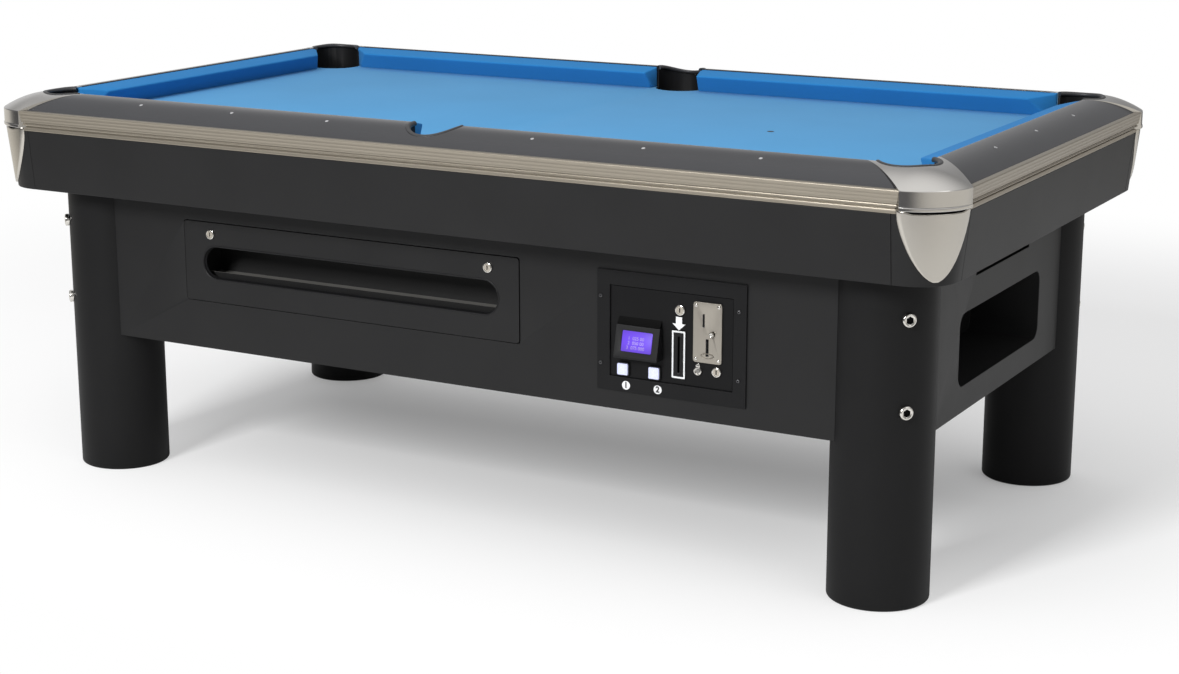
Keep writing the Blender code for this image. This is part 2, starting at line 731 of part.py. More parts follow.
def build_aprons(pockets):
    """Tapered boards under the rails, with rounded corner pieces between them."""
    low_outer = apron_outer(APRON_LOW)
    section = [(APRON_TOP_OUTER, APRON_TOP), (APRON_TOP_OUTER - APRON_THICKNESS, APRON_TOP),
               (low_outer - APRON_THICKNESS, APRON_LOW), (low_outer, APRON_LOW)]
    for side, (_, _, half_run) in SIDES.items():
        board = side_extrusion("apron_" + side, section, side, half_run + APRON_SEAM - FIT)
        if "side_" + side in pockets:
            cut(board, pockets["side_" + side])
        finish_part(board, "black_paint")
    for corner in CORNERS:
        piece = corner_sweep("apron_corner_" + corner, section, RAIL_INNER - APRON_SEAM)
        piece.location = nose_corner(corner)
        piece.rotation_euler = (0, 0, diagonal_angle(corner))
        finish_part(piece, "black_paint")


def trim_section():
    """The fluted trim: a wide band, a bead and a lower bead with grooves between them."""
    top = TRIM_TOP
    low = RAIL_BOTTOM

    def face(height, sunk=0.0):
        lean = TRIM_LEAN * (top - height) / (top - low)
        return (TRIM_OUTER - lean - sunk, height)

    back = RAIL_OUTER + FIT
    band_low = top - TRIM_BAND
    bead_top = band_low - TRIM_GROOVE
    bead_low = bead_top - TRIM_BEAD
    foot_top = bead_low - TRIM_GROOVE
    return [(back, low), face(low), face(foot_top), face(foot_top, TRIM_GROOVE), face(bead_low, TRIM_GROOVE),
            face(bead_low), face(bead_top), face(bead_top, TRIM_GROOVE), face(band_low, TRIM_GROOVE),
            face(band_low), face(top - TRIM_GROOVE), face(top, TRIM_GROOVE), (back, top)]


def build_rails(pockets):
    """Four rails with convex tops and a metal trim along each."""
    section = crown(RAIL_OUTER, TRIM_TOP) + [(RAIL_OUTER, RAIL_BOTTOM), (RAIL_HOOK, RAIL_BOTTOM),
                                             (RAIL_HOOK, RAIL_SEAT), (RAIL_INNER, RAIL_SEAT)]
    for side, (_, _, half_run) in SIDES.items():
        ends = [casting_end_cutter("cut_rail_" + side + str(end), side, end) for end in (-1, 1)]
        rail = side_extrusion("rail_" + side, section, side, half_run + TRIM_OUTER)
        cut(rail, *ends)
        if "side_" + side in pockets:
            cut(rail, pockets["side_" + side])
        finish_part(rail, "rail_laminate")
        trim = side_extrusion("trim_" + side, trim_section(), side, half_run + TRIM_OUTER)
        cut(trim, *ends)
        finish_part(trim, "aluminium")


def casting_sweep(name, section, corner):
    """A section swept round one corner of the table, as wide as the casting."""
    piece = corner_sweep(name, section, CASTING_HALF_WIDTH * math.sqrt(2))
    piece.location = nose_corner(corner)
    piece.rotation_euler = (0, 0, diagonal_angle(corner))
    return piece


def casting_section():
    """The corner casting: crowned cap, plain band, a slit and the shield on the apron's corner."""
    outer = CASTING_OUTER
    band_low = RAIL_BOTTOM + SHIELD_LIP
    shield_top = band_low - SHIELD_SLIT
    foot = APRON_LOW + SHIELD_TIP
    shield = FIT + SHIELD_THICKNESS
    shield_inner = apron_outer(APRON_TOP) + FIT
    return crown(CASTING_EDGE, TRIM_TOP + FIT) + [
        (outer, TRIM_TOP - TRIM_GROOVE), (outer - CASTING_PROUD, band_low + CASTING_PROUD),
        (outer - SHIELD_SLIT_DEPTH, band_low), (outer - SHIELD_SLIT_DEPTH - CASTING_PROUD, shield_top),
        (apron_outer(shield_top) + shield, shield_top - CASTING_PROUD),
        (apron_outer(foot) + shield, foot), (apron_outer(foot) + FIT, foot), (shield_inner, RAIL_BOTTOM),
        (RAIL_HOOK, RAIL_BOTTOM), (RAIL_HOOK, RAIL_SEAT), (RAIL_INNER, RAIL_SEAT)]


def casting_silhouette():
    """The casting seen along its diagonal: a band with the rounded shield below it."""
    half = CASTING_HALF_WIDTH
    low = APRON_LOW + SHIELD_TIP
    drop = RAIL_BOTTOM - low
    points = [(half, 2 * BED_HEIGHT - RAIL_BOTTOM), (-half, 2 * BED_HEIGHT - RAIL_BOTTOM)]
    steps = 2 * CORNER_STEPS
    for i in range(steps + 1):
        angle = math.pi + math.pi * i / steps
        depth = max(0.0, -math.sin(angle))
        width = max(0.0, 1 - depth ** SHIELD_TAPER) ** SHIELD_FULLNESS
        points.append((math.copysign(half * width, math.cos(angle)), RAIL_BOTTOM - drop * depth))
    return points


def build_castings(pockets):
    """Nickel castings that close the corners over the pockets."""
    for corner in CORNERS:
        casting = casting_sweep("corner_casting_" + corner, casting_section(), corner)
        stencil = prism("keep_casting_" + corner, casting_silhouette(), 4 * TRIM_OUTER, nose_corner(corner),
                        (math.radians(90), 0, diagonal_angle(corner) + math.radians(90)))
        boolean(casting, 'INTERSECT', [stencil])
        cut(casting, pockets["corner_" + corner])
        finish_part(casting, "nickel")


def build_cushions(pockets):
    """Six cushions whose ends are cut back towards the pockets."""
    back = RAIL_INNER - FIT
    section = [(0.0, BED_HEIGHT + NOSE_RISE), (CUSHION_FOOT, RAIL_SEAT), (back, RAIL_SEAT),
               (back, BED_HEIGHT + CUSHION_BACK_RISE), (NOSE_ROUND, BED_HEIGHT + NOSE_RISE + NOSE_ROUND)]
    corner_reach = CORNER_MOUTH / math.sqrt(2)
    corner_run = RAIL_INNER / math.tan(CORNER_FACING)
    side_run = RAIL_INNER / math.tan(SIDE_FACING)
    for side in ("front", "rear"):
        for hand, sign in (("left", -1), ("right", 1)):
            name = "cushion_" + side + "_" + hand
            start = sign * SIDE_MOUTH / 2
            end = sign * (HALF_LENGTH - corner_reach)
            limits = cushion_plan(name, side, start, -sign * side_run, end, sign * corner_run)
            cushion = side_extrusion(name, section, side, HALF_LENGTH + RAIL_INNER)
            boolean(cushion, 'INTERSECT', [limits])
            cut(cushion, pockets["side_" + side], pockets["corner_" + side + "_" + hand])
            finish_part(cushion, "blue_cloth")
    for side in ("left", "right"):
        name = "cushion_" + side + "_end"
        end = HALF_WIDTH - corner_reach
        limits = cushion_plan(name, side, -end, -corner_run, end, corner_run)
        cushion = side_extrusion(name, section, side, HALF_WIDTH + RAIL_INNER)
        boolean(cushion, 'INTERSECT', [limits])
        cut(cushion, pockets["corner_front_" + side], pockets["corner_rear_" + side])
        finish_part(cushion, "blue_cloth")


def cushion_plan(name, side, start, start_run, end, end_run):
    """A tall prism with a cushion's plan: its nose from start to end, and both facings."""
    angle, out, _ = SIDES[side]
    margin = NOSE_RISE
    lead = margin / RAIL_INNER
    inner = [(start - start_run * lead, -margin), (end - end_run * lead, -margin)]
    outer = [(end + end_run, RAIL_INNER), (start + start_run, RAIL_INNER)]
    points = []
    for run, away in inner + outer:
        if side in ("front", "rear"):
            points.append((run, math.copysign(out + away, angle)))
        else:
            points.append((math.copysign(out + away, math.cos(math.radians(angle))), run))
    return prism("keep_" + name, points, BED_HEIGHT, (0, 0, BED_HEIGHT))


def build_bed(pockets):
    """The slate and its cloth, with room for the pockets."""
    reach_x = HALF_LENGTH + SLATE_MARGIN
    reach_y = HALF_WIDTH + SLATE_MARGIN
    slate = block("slate", (-reach_x, -reach_y, SLATE_BOTTOM), (reach_x, reach_y, SLATE_TOP))
    cloth = block("bed_cloth", (-reach_x, -reach_y, SLATE_TOP + FIT), (reach_x, reach_y, BED_HEIGHT))
    corners = [bed_corner_cutter(corner) for corner in CORNERS]
    for piece, finish in ((slate, "slate"), (cloth, "blue_cloth")):
        cut(piece, *pockets.values(), *corners)
        finish_part(piece, finish)


def bed_corner_cutter(corner):
    """Takes the bed's corner off outside the pocket's centre."""
    centre = Vector(corner_pocket_centre(corner))
    reach = Vector(CORNERS[corner]) * 2 * SLATE_MARGIN
    xs = sorted((centre.x, centre.x + reach.x))
    ys = sorted((centre.y, centre.y + reach.y))
    return block("cut_bed_" + corner, (xs[0], ys[0], SLATE_BOTTOM - SLATE_THICKNESS),
                 (xs[1], ys[1], BED_HEIGHT + SLATE_THICKNESS))


def build_liners():
    """Pocket liners: round cups with a mouth to the bed and an exit to the ball return."""
    floor = LINER_BOTTOM + LINER_FLOOR
    height = BED_HEIGHT + RAIL_RISE + 2 * LINER_PROUD - LINER_BOTTOM
    bore = POCKET_RADIUS - POCKET_WALL
    for name, (x, y) in pocket_centres().items():
        liner = cylinder("pocket_liner_" + name, POCKET_RADIUS, height, (x, y, LINER_BOTTOM + height / 2))
        hollow = cylinder("cut_bore_" + name, bore, height, (x, y, floor + height / 2))
        cut(liner, hollow, exit_cutter(name, x, y, floor), mouth_cutter(name), rim_cutter(name))
        finish_part(liner, "black_rubber")


def exit_cutter(name, x, y, floor):
    """The way out for a ball, towards the middle of the table."""
    inward = math.atan2(-y, -x)
    if name.startswith("side"):
        inward = math.copysign(math.pi / 2, -y)
    cutter = block("cut_exit_" + name, (0, -LINER_EXIT_WIDTH / 2, floor),
                   (2 * POCKET_RADIUS, LINER_EXIT_WIDTH / 2, floor + LINER_EXIT_HEIGHT))
    middle = cutter.location.copy()
    cutter.location = (x + middle.x * math.cos(inward), y + middle.x * math.sin(inward), middle.z)
    cutter.rotation_euler = (0, 0, inward)
    return cutter


def mouth_cutter(name):
    """Removes a liner's wall over the bed, up to the rails' inner edges."""
    reach_x = HALF_LENGTH + RAIL_INNER
    reach_y = HALF_WIDTH + RAIL_INNER
    return block("cut_mouth_" + name, (-reach_x, -reach_y, SLATE_TOP), (reach_x, reach_y, 2 * BED_HEIGHT))


def rim_cutter(name):
    """Trims a liner's rim to the crowned rail or casting around it, a little proud of it."""
    kind, place = name.split("_", 1)
    outer, edge = (RAIL_OUTER, TRIM_TOP) if kind == "side" else (CASTING_EDGE, TRIM_TOP + FIT)
    sky = 2 * BED_HEIGHT
    section = crown(outer, edge, LINER_PROUD) + [(outer, sky), (RAIL_INNER, sky)]
    if kind == "side":
        return side_extrusion("cut_rim_" + name, section, place, 2 * POCKET_RADIUS)
    return casting_sweep("cut_rim_" + name, section, place)


def key_lock(name, x, z, face, cam_y, cam_length, cam_side):
    """A cam lock whose cam lies level, clear of the stop, until the key is turned."""
    lie = (math.radians(90), 0, 0)
    head_front = face - FIT - LOCK_HEAD_THICKNESS
    start = head_front + LOCK_HEAD_THICKNESS / 2
    end = cam_y + LOCK_CAM_THICKNESS
    lock = cylinder(name, LOCK_HEAD, LOCK_HEAD_THICKNESS, (x, start, z), lie, SIDES_MEDIUM)
    barrel = cylinder("barrel_" + name, LOCK_BARREL, end - start, (x, (start + end) / 2, z), lie, SIDES_SMALL)
    cam = front_block("cam_" + name, x + cam_side * cam_length / 2, z, cam_length, LOCK_CAM_WIDTH, cam_y, end)
    keyway = front_block("cut_keyway_" + name, x, z, KEYWAY_WIDTH, KEYWAY_HEIGHT,
                         head_front - KEYWAY_DEPTH, head_front + KEYWAY_DEPTH)
    join(lock, barrel, cam)
    cut(lock, keyway)
    set_origin(lock, (x, face, z))
    return finish_part(lock, "chrome")


def lock_hole(name, x, z, face):
    return cylinder("cut_hole_" + name, LOCK_BARREL + FIT, 4 * PANEL_THICKNESS, (x, face, z),
                    (math.radians(90), 0, 0), SIDES_SMALL)


def build_window():
    """The ball window door with its long slot and a lock near each upper corner."""
    door = front_prism("window_door", rounded_rectangle(WINDOW_WIDTH, WINDOW_HEIGHT, WINDOW_ROUND),
                       WINDOW_FACE, WINDOW_BACK, WINDOW_CENTRE_X, WINDOW_MIDDLE)
    stadium = rounded_rectangle(SLOT_WIDTH, SLOT_HEIGHT, SLOT_HEIGHT / 2, SLOT_END_STEPS)
    slot = front_prism("cut_slot", stadium, WINDOW_FACE - PANEL_THICKNESS, WINDOW_BACK + PANEL_THICKNESS,
                       WINDOW_CENTRE_X, SLOT_MIDDLE)
    cut(door, slot)
    z = WINDOW_LOW + WINDOW_HEIGHT - WINDOW_LOCK_DROP
    for hand, sign in (("left", -1), ("right", 1)):
        name = "window_lock_" + hand
        x = WINDOW_CENTRE_X + sign * (WINDOW_WIDTH / 2 - WINDOW_LOCK_INSET)
        cut(door, lock_hole(name, x, z, WINDOW_FACE))
        key_lock(name, x, z, WINDOW_FACE, FRONT_INSIDE + FIT, LOCK_CAM_LENGTH, -sign)
    set_origin(door, (WINDOW_CENTRE_X, WINDOW_FACE, WINDOW_LOW))
    finish_part(door, "black_paint")


def build_coin_frame():
    """The coin unit's front frame with its steel box behind it."""
    half = COIN_DOOR_WIDTH / 2 + COIN_FRAME_SIDE
    frame = block("coin_frame", (COIN_CENTRE_X - half, COIN_FRAME_FACE, DOOR_LOW - COIN_FRAME_FOOT),
                  (COIN_CENTRE_X + half, FRONT_FACE - FIT, DOOR_TOP + COIN_FRAME_HEAD))
    left, right, low, high = coin_box_limits(0.0)
    inner_left, inner_right, inner_low, inner_high = coin_box_limits(-COIN_BOX_WALL)
    back = FRONT_FACE + COIN_BOX_DEPTH
    stop = DOOR_BACK + FIT
    box = block("coin_box", (left, COIN_FRAME_FACE + FIT, low), (right, back, high))
    recess = front_block("cut_coin_recess", COIN_CENTRE_X, DOOR_MIDDLE, COIN_DOOR_WIDTH + 2 * DOOR_GAP,
                         COIN_DOOR_HEIGHT + 2 * DOOR_GAP, COIN_FRAME_FACE - PANEL_THICKNESS, stop)
    passage = front_block("cut_coin_passage", COIN_CENTRE_X, DOOR_MIDDLE, COIN_DOOR_WIDTH - 2 * COIN_STOP,
                          COIN_DOOR_HEIGHT - 2 * COIN_STOP, stop - FIT, back - 2 * COIN_BOX_WALL)
    cavity = block("cut_coin_cavity", (inner_left, stop + COIN_STOP_THICKNESS, inner_low),
                   (inner_right, back - COIN_BOX_WALL, inner_high))
    join(frame, box)
    cut(frame, recess, passage, cavity)
    finish_part(frame, "black_steel")


def build_coin_door():
    """The coin door and everything that is fixed to it or moves on it."""
    door = front_block("coin_door", COIN_CENTRE_X, DOOR_MIDDLE, COIN_DOOR_WIDTH, COIN_DOOR_HEIGHT,
                       DOOR_FACE, DOOR_BACK)
    lock_x = COIN_CENTRE_X + COIN_LOCK_X
    lock_z = DOOR_TOP - COIN_LOCK_DROP
    cut(door, lock_hole("coin_door_lock", lock_x, lock_z, DOOR_FACE))
    cam_y = DOOR_BACK + FIT + COIN_STOP_THICKNESS + FIT
    key_lock("coin_door_lock", lock_x, lock_z, DOOR_FACE, cam_y, COIN_LOCK_CAM_LENGTH, -1)
    for name, across in zip(("select_button", "play_button"), BUTTON_XS):
        build_button(name, door, COIN_CENTRE_X + across)
    build_bill_acceptor(door)
    build_coin_plate(door)
    build_display()
    set_origin(door, (DOOR_LEFT, DOOR_FACE, DOOR_MIDDLE))
    finish_part(door, "black_steel")


def cut_through_door(name, door, x, z, width, height):
    """A hole through the coin door, a fit larger than what passes through it."""
    cut(door, front_block("cut_" + name, x, z, width + 2 * FIT, height + 2 * FIT,
                          DOOR_FACE - PANEL_THICKNESS, DOOR_BACK + PANEL_THICKNESS))


def build_button(name, door, x):
    """A square lit cap on a shank that slides through the door."""
    z = DOOR_LOW + BUTTON_RISE
    cap_back = DOOR_FACE - FIT - BUTTON_TRAVEL
    cap_front = cap_back - BUTTON_CAP
    outline = rounded_rectangle(BUTTON_SIDE, BUTTON_SIDE, BUTTON_CAP / 2, 2)
    button = front_prism(name, outline, cap_front, cap_back, x, z)
    shank = front_block("shank_" + name, x, z, BUTTON_SHANK, BUTTON_SHANK, cap_front + FIT,
                        cap_back + BUTTON_SHANK_LENGTH)
    join(button, shank)
    cut_through_door(name, door, x, z, BUTTON_SHANK, BUTTON_SHANK)
    set_origin(button, (x, cap_back, z))
    finish_part(button, "lit_white")


def build_bill_acceptor(door):
    """A thin bezel on the door with the acceptor's body behind it and a slot for a note."""
    x = COIN_CENTRE_X + BILL_X
    z = DOOR_LOW + BILL_RISE + BILL_HEIGHT / 2
    front = DOOR_FACE - FIT - BILL_PROUD
    width = BILL_WIDTH - 2 * BILL_BODY_MARGIN
    height = BILL_HEIGHT - 2 * BILL_BODY_MARGIN
    acceptor = front_block("bill_acceptor", x, z, BILL_WIDTH, BILL_HEIGHT, front, DOOR_FACE - FIT)
    body = front_block("bill_body", x, z, width, height, front + FIT, DOOR_BACK + BILL_BODY_DEPTH)
    slot = front_block("cut_bill_slot", x, z, BILL_SLOT_WIDTH, BILL_SLOT_HEIGHT,
                       front - PANEL_THICKNESS, front + BILL_SLOT_DEPTH)
    join(acceptor, body)
    cut(acceptor, slot)
    cut_through_door("bill_body", door, x, z, width, height)
    finish_part(acceptor, "black_rubber")


def build_coin_plate(door):
    """A bright plate with the coin mechanism behind it and the reject button in it."""
    x = COIN_CENTRE_X + COIN_PLATE_X
    z = DOOR_TOP - COIN_PLATE_DROP - COIN_PLATE_HEIGHT / 2
    front = DOOR_FACE - FIT - COIN_PLATE_THICKNESS
    outside = front - PANEL_THICKNESS
    width = COIN_PLATE_WIDTH - 2 * COIN_MECH_MARGIN
    height = COIN_PLATE_HEIGHT - 2 * COIN_MECH_MARGIN
    outline = rounded_rectangle(COIN_PLATE_WIDTH, COIN_PLATE_HEIGHT, COIN_PLATE_ROUND, 3)
    plate = front_prism("coin_plate", outline, front, DOOR_FACE - FIT, x, z)
    body = front_block("coin_mechanism", x, z, width, height, front + FIT, DOOR_BACK + COIN_MECH_DEPTH)
    entry = front_block("cut_coin_entry", x + COIN_ENTRY_X, z + COIN_ENTRY_Z, COIN_ENTRY_WIDTH,
                        COIN_ENTRY_HEIGHT, outside, front + COIN_ENTRY_DEPTH)
    cup = front_block("cut_coin_return", x + COIN_RETURN_X, z + COIN_RETURN_Z, COIN_RETURN_WIDTH,
                      COIN_RETURN_HEIGHT, outside, front + COIN_RETURN_DEPTH)
    lie = (math.radians(90), 0, 0)
    reject_x = x + REJECT_X
    reject_z = z + REJECT_Z
    reject_front = front - REJECT_PROUD
    bore_depth = REJECT_LENGTH + REJECT_TRAVEL + FIT - REJECT_PROUD
    bore = cylinder("cut_reject", REJECT_RADIUS + FIT, 2 * bore_depth, (reject_x, front, reject_z), lie,
                    SIDES_SMALL)
    join(plate, body)
    cut(plate, entry, cup, bore)
    cut_through_door("coin_mechanism", door, x, z, width, height)
    finish_part(plate, "steel")
    reject = cylinder("reject_button", REJECT_RADIUS, REJECT_LENGTH,
                      (reject_x, reject_front + REJECT_LENGTH / 2, reject_z), lie, SIDES_SMALL)
    set_origin(reject, (reject_x, front, reject_z))
    finish_part(reject, "chrome")


def build_display():
    """A wedge that tilts the screen up towards the player."""
    x = COIN_CENTRE_X + DISPLAY_X
    low = DOOR_LOW + DISPLAY_RISE
    back = DOOR_FACE - FIT
    toe = (back - DISPLAY_FOOT_DEPTH, low + DISPLAY_TOE)
    brow = (back - DISPLAY_HEAD_DEPTH, low + DISPLAY_HEIGHT)
    section = [(back, low), (back, brow[1]), brow, toe, (toe[0], low)]
    unit = prism("display_unit", section, DISPLAY_WIDTH, (x, 0, 0), (math.radians(90), 0, math.radians(90)))
    lean = math.atan2(brow[0] - toe[0], brow[1] - toe[1])
    centre = (x, (toe[0] + brow[0]) / 2, (toe[1] + brow[1]) / 2)
    outline = rounded_rectangle(SCREEN_WIDTH, SCREEN_HEIGHT, SCREEN_DEPTH, 1)
    screen = prism("cut_screen", outline, 2 * SCREEN_DEPTH, centre, (math.radians(90) - lean, 0, 0))
    cut(unit, screen)
    finish_part(unit, "display")


def build_ball_return():
    """The sloping floor under the slate with its fences, and the tray below its front edge."""
    half = LEG_X - LEG_RADIUS - RUNWAY_SIDE_MARGIN
    sheet = RUNWAY_SHEET
    floor = runway_section(RUNWAY_FRONT_Y, RUNWAY_BACK_Y, 0.0)
    runway = lengthwise("ball_runway", floor, -half, half)
    fence_y = LEG_Y - LEG_RADIUS - RUNWAY_SIDE_MARGIN
    side_fence = runway_section(-fence_y, fence_y, RUNWAY_FENCE)
    join(runway, lengthwise("left_fence", side_fence, -half, sheet - half),
         lengthwise("right_fence", side_fence, half - sheet, half))
    front_fence = runway_section(RUNWAY_FRONT_Y, RUNWAY_FRONT_Y + sheet, RUNWAY_FENCE)
    tray_left = WINDOW_CENTRE_X - TRAY_LENGTH / 2
    tray_right = WINDOW_CENTRE_X + TRAY_LENGTH / 2
    join(runway, lengthwise("front_fence_left", front_fence, -half, tray_left),
         lengthwise("front_fence_right", front_fence, tray_right, half))
    drop_top = RUNWAY_FRONT_Z - sheet / 2
    lip_top = TRAY_FLOOR + TRAY_LIP
    tray = [(RUNWAY_FRONT_Y + sheet, drop_top), (RUNWAY_FRONT_Y, drop_top), (TRAY_BACK, TRAY_FLOOR),
            (TRAY_FRONT + sheet, TRAY_FLOOR), (TRAY_FRONT + sheet, lip_top), (TRAY_FRONT, lip_top),
            (TRAY_FRONT, TRAY_FLOOR - sheet), (TRAY_BACK + sheet, TRAY_FLOOR - sheet)]
    end_top = TRAY_FLOOR + TRAY_END_HEIGHT
    end_plate = [(TRAY_FRONT, TRAY_FLOOR - sheet), (TRAY_BACK, TRAY_FLOOR - sheet),
                 (TRAY_BACK, end_top), (TRAY_FRONT, end_top)]
    join(runway, lengthwise("ball_tray", tray, tray_left, tray_right),
         lengthwise("tray_end_left", end_plate, tray_left, tray_left + sheet),
         lengthwise("tray_end_right", end_plate, tray_right - sheet, tray_right))
    finish_part(runway, "grey_sheet")
    build_gate()


def runway_section(y_front, y_back, height):
    """A strip of the sloping floor seen from its end, raised to a height above it."""
    slope = RUNWAY_FALL / (RUNWAY_BACK_Y - RUNWAY_FRONT_Y)
    z_front = RUNWAY_FRONT_Z + slope * (y_front - RUNWAY_FRONT_Y)
    z_back = RUNWAY_FRONT_Z + slope * (y_back - RUNWAY_FRONT_Y)
    return [(y_back, z_back + height), (y_front, z_front + height),
            (y_front, z_front - RUNWAY_SHEET), (y_back, z_back - RUNWAY_SHEET)]


def lengthwise(name, section, x_start, x_end):
    """A section of (y, height) run along the table between two places."""
    return prism(name, section, x_end - x_start, ((x_start + x_end) / 2, 0, 0),
                 (math.radians(90), 0, math.radians(90)))


def build_gate():
    """A flap on a rod that holds the balls back at the front edge of the sloping floor."""
    rise = RUNWAY_FALL / (RUNWAY_BACK_Y - RUNWAY_FRONT_Y)
    y = RUNWAY_FRONT_Y + GATE_ROD_RADIUS
    z = RUNWAY_FRONT_Z + GATE_ROD_RADIUS * (1 + rise) + GATE_ROD_CLEAR
    gate = cylinder("release_gate", GATE_ROD_RADIUS, GATE_LENGTH, (WINDOW_CENTRE_X, y, z),
                    (0, math.radians(90), 0), SIDES_SMALL)
    flap = front_block("gate_flap", WINDOW_CENTRE_X, z + GATE_HEIGHT / 2, GATE_LENGTH, GATE_HEIGHT,
                       y - GATE_THICKNESS / 2, y + GATE_THICKNESS / 2)
    join(gate, flap)
    set_origin(gate, (WINDOW_CENTRE_X, y, z))
    finish_part(gate, "steel")


def build_table():
    pockets = pocket_cutters()
    build_legs()
    build_cabinet()
    build_aprons(pockets)
    build_rails(pockets)
    build_castings(pockets)
    build_cushions(pockets)
    build_bed(pockets)
    build_liners()
    build_window()
    build_coin_frame()
    build_coin_door()
    build_ball_return()


clear_scene()
PARTS = new_collection("coin_pool_table")
CUTTERS = new_collection("cutters")
build_table()
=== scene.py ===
"""Looks of a coin-operated pool table, laid out as a Blender add-on and run as a script."""

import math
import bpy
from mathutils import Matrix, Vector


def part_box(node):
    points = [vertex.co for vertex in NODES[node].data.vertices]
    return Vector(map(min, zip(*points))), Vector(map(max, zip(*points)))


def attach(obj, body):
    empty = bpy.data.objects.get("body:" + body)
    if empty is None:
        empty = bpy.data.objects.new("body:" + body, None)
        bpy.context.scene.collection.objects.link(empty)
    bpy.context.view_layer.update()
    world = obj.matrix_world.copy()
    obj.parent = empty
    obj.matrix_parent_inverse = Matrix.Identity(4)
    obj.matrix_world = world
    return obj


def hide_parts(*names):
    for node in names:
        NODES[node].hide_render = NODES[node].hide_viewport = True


bl_info = {
    "name": "Coin Pool Table",
    "version": (1, 0, 0),
    "blender": (4, 5, 0),
    "location": "3D View > Sidebar > Pool Table",
    "description": "Builds the visible pieces of a coin-operated pool table on its frame",
    "category": "Object",
}

import bmesh
import bpy
from mathutils import Matrix, Vector

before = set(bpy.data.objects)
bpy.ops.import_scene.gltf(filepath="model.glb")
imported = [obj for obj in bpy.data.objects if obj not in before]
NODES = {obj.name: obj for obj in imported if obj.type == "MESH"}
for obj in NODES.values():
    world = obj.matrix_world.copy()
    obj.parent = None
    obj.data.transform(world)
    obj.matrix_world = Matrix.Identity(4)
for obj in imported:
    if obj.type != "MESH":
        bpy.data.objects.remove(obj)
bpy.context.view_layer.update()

ROOT2 = math.sqrt(2)

# Places that come from the frame, in metres.
HALF_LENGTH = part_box("cushion_right_end")[0].x
HALF_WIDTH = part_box("cushion_rear_left")[0].y
SQUARE = HALF_LENGTH / 4


def reach_of(node):
    """How far out from the end cushion's nose a node starts and stops, its foot and its top."""
    low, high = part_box(node)
    return low.x - HALF_LENGTH, high.x - HALF_LENGTH, low.z, high.z


_, CLOTH_MARGIN, CLOTH_UNDER, BED_TOP = reach_of("bed_cloth")
_, CUSHION_BACK, CUSHION_SEAT, CUSHION_TOP = reach_of("cushion_right_end")
RAIL_INNER, RAIL_OUTER, RAIL_LOW, RAIL_TOP = reach_of("rail_right")
_, TRIM_OUTER, _, TRIM_TOP = reach_of("trim_right")
_, APRON_OUTER, APRON_LOW, APRON_TOP = reach_of("apron_right")
_, CASTING_OUTER, SHIELD_LOW, _ = reach_of("corner_casting_rear_right")
LEG_RADIUS = (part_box("leg_front_left")[1].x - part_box("leg_front_left")[0].x) / 2
LEG_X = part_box("leg_front_right")[1].x - LEG_RADIUS
LEG_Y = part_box("leg_rear_right")[1].y - LEG_RADIUS
LEG_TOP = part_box("leg_front_left")[1].z
BRACKET_LOW, BRACKET_TOP = [corner.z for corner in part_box("leg_bracket_front_left")]
CABINET_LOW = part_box("cabinet_front")[0].z
FRAME_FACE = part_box("coin_frame")[0].y
DOOR_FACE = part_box("coin_door")[0].y

# Sizes that the frame's boxes don't give.
FIT = 0.0003
RAIL_SEAT = BED_TOP + FIT
RAIL_HOOK = CLOTH_MARGIN + FIT
NOSE_HEIGHT = BED_TOP + 0.0361
CUSHION_FOOT = 0.022
CORNER_REACH = 0.120 / ROOT2
CORNER_FACING = math.radians(39)
SIDE_REACH = 0.137 / 2
SIDE_FACING = math.radians(76)
POCKET_RADIUS = 0.060
POCKET_CUT = POCKET_RADIUS + FIT
CORNER_POCKET_OUT = 0.018
SIDE_POCKET_OUT = 0.056
CASTING_HALF = 0.0705
BAND_FACE = CASTING_OUTER - 0.0012
CAP_EDGE = BAND_FACE - 0.001008
CAP_EDGE_TOP = TRIM_TOP + FIT
CAP_CHAMFER = 0.0014835
APRON_TAPER = 0.0135
SHIELD_THICKNESS = 0.0042
LEG_FLAT = 0.020
LEG_PROUD = 0.0255
PANEL_THICKNESS = 0.025
BRACKET_THICKNESS = 0.018
BOLT_HEIGHTS = (CABINET_LOW + 0.0741, CABINET_LOW + 0.2486)
WELD = 1e-5
LOCK_BARREL = 0.0089
CAM_THICKNESS = 0.0025
CAM_ROOT = 0.0095
CAM_TIP = 0.006

# Angles between faces, in degrees: edges above the first are eased, edges below the second are dissolved.
EASED_ABOVE = 34.0
FLAT_BELOW = 0.4

CORNERS = {"front_left": (-1, -1), "front_right": (1, -1), "rear_right": (1, 1), "rear_left": (-1, 1)}
# Each side: the way along it, the way out, the nose's distance from the middle and half its run.
SIDES = {
    "front": (Vector((1, 0, 0)), Vector((0, -1, 0)), HALF_WIDTH, HALF_LENGTH),
    "right": (Vector((0, 1, 0)), Vector((1, 0, 0)), HALF_LENGTH, HALF_WIDTH),
    "rear": (Vector((1, 0, 0)), Vector((0, 1, 0)), HALF_WIDTH, HALF_LENGTH),
    "left": (Vector((0, 1, 0)), Vector((-1, 0, 0)), HALF_LENGTH, HALF_WIDTH),
}


def number(name, description, default, **kind):
    return bpy.props.FloatProperty(name=name, description=description, default=default, **kind)


def length(name, description, default):
    return number(name, description, default, unit='LENGTH')


def colour(name, description, default):
    return bpy.props.FloatVectorProperty(
        name=name, description=description, default=default, size=3, subtype='COLOR', min=0.0, max=1.0)


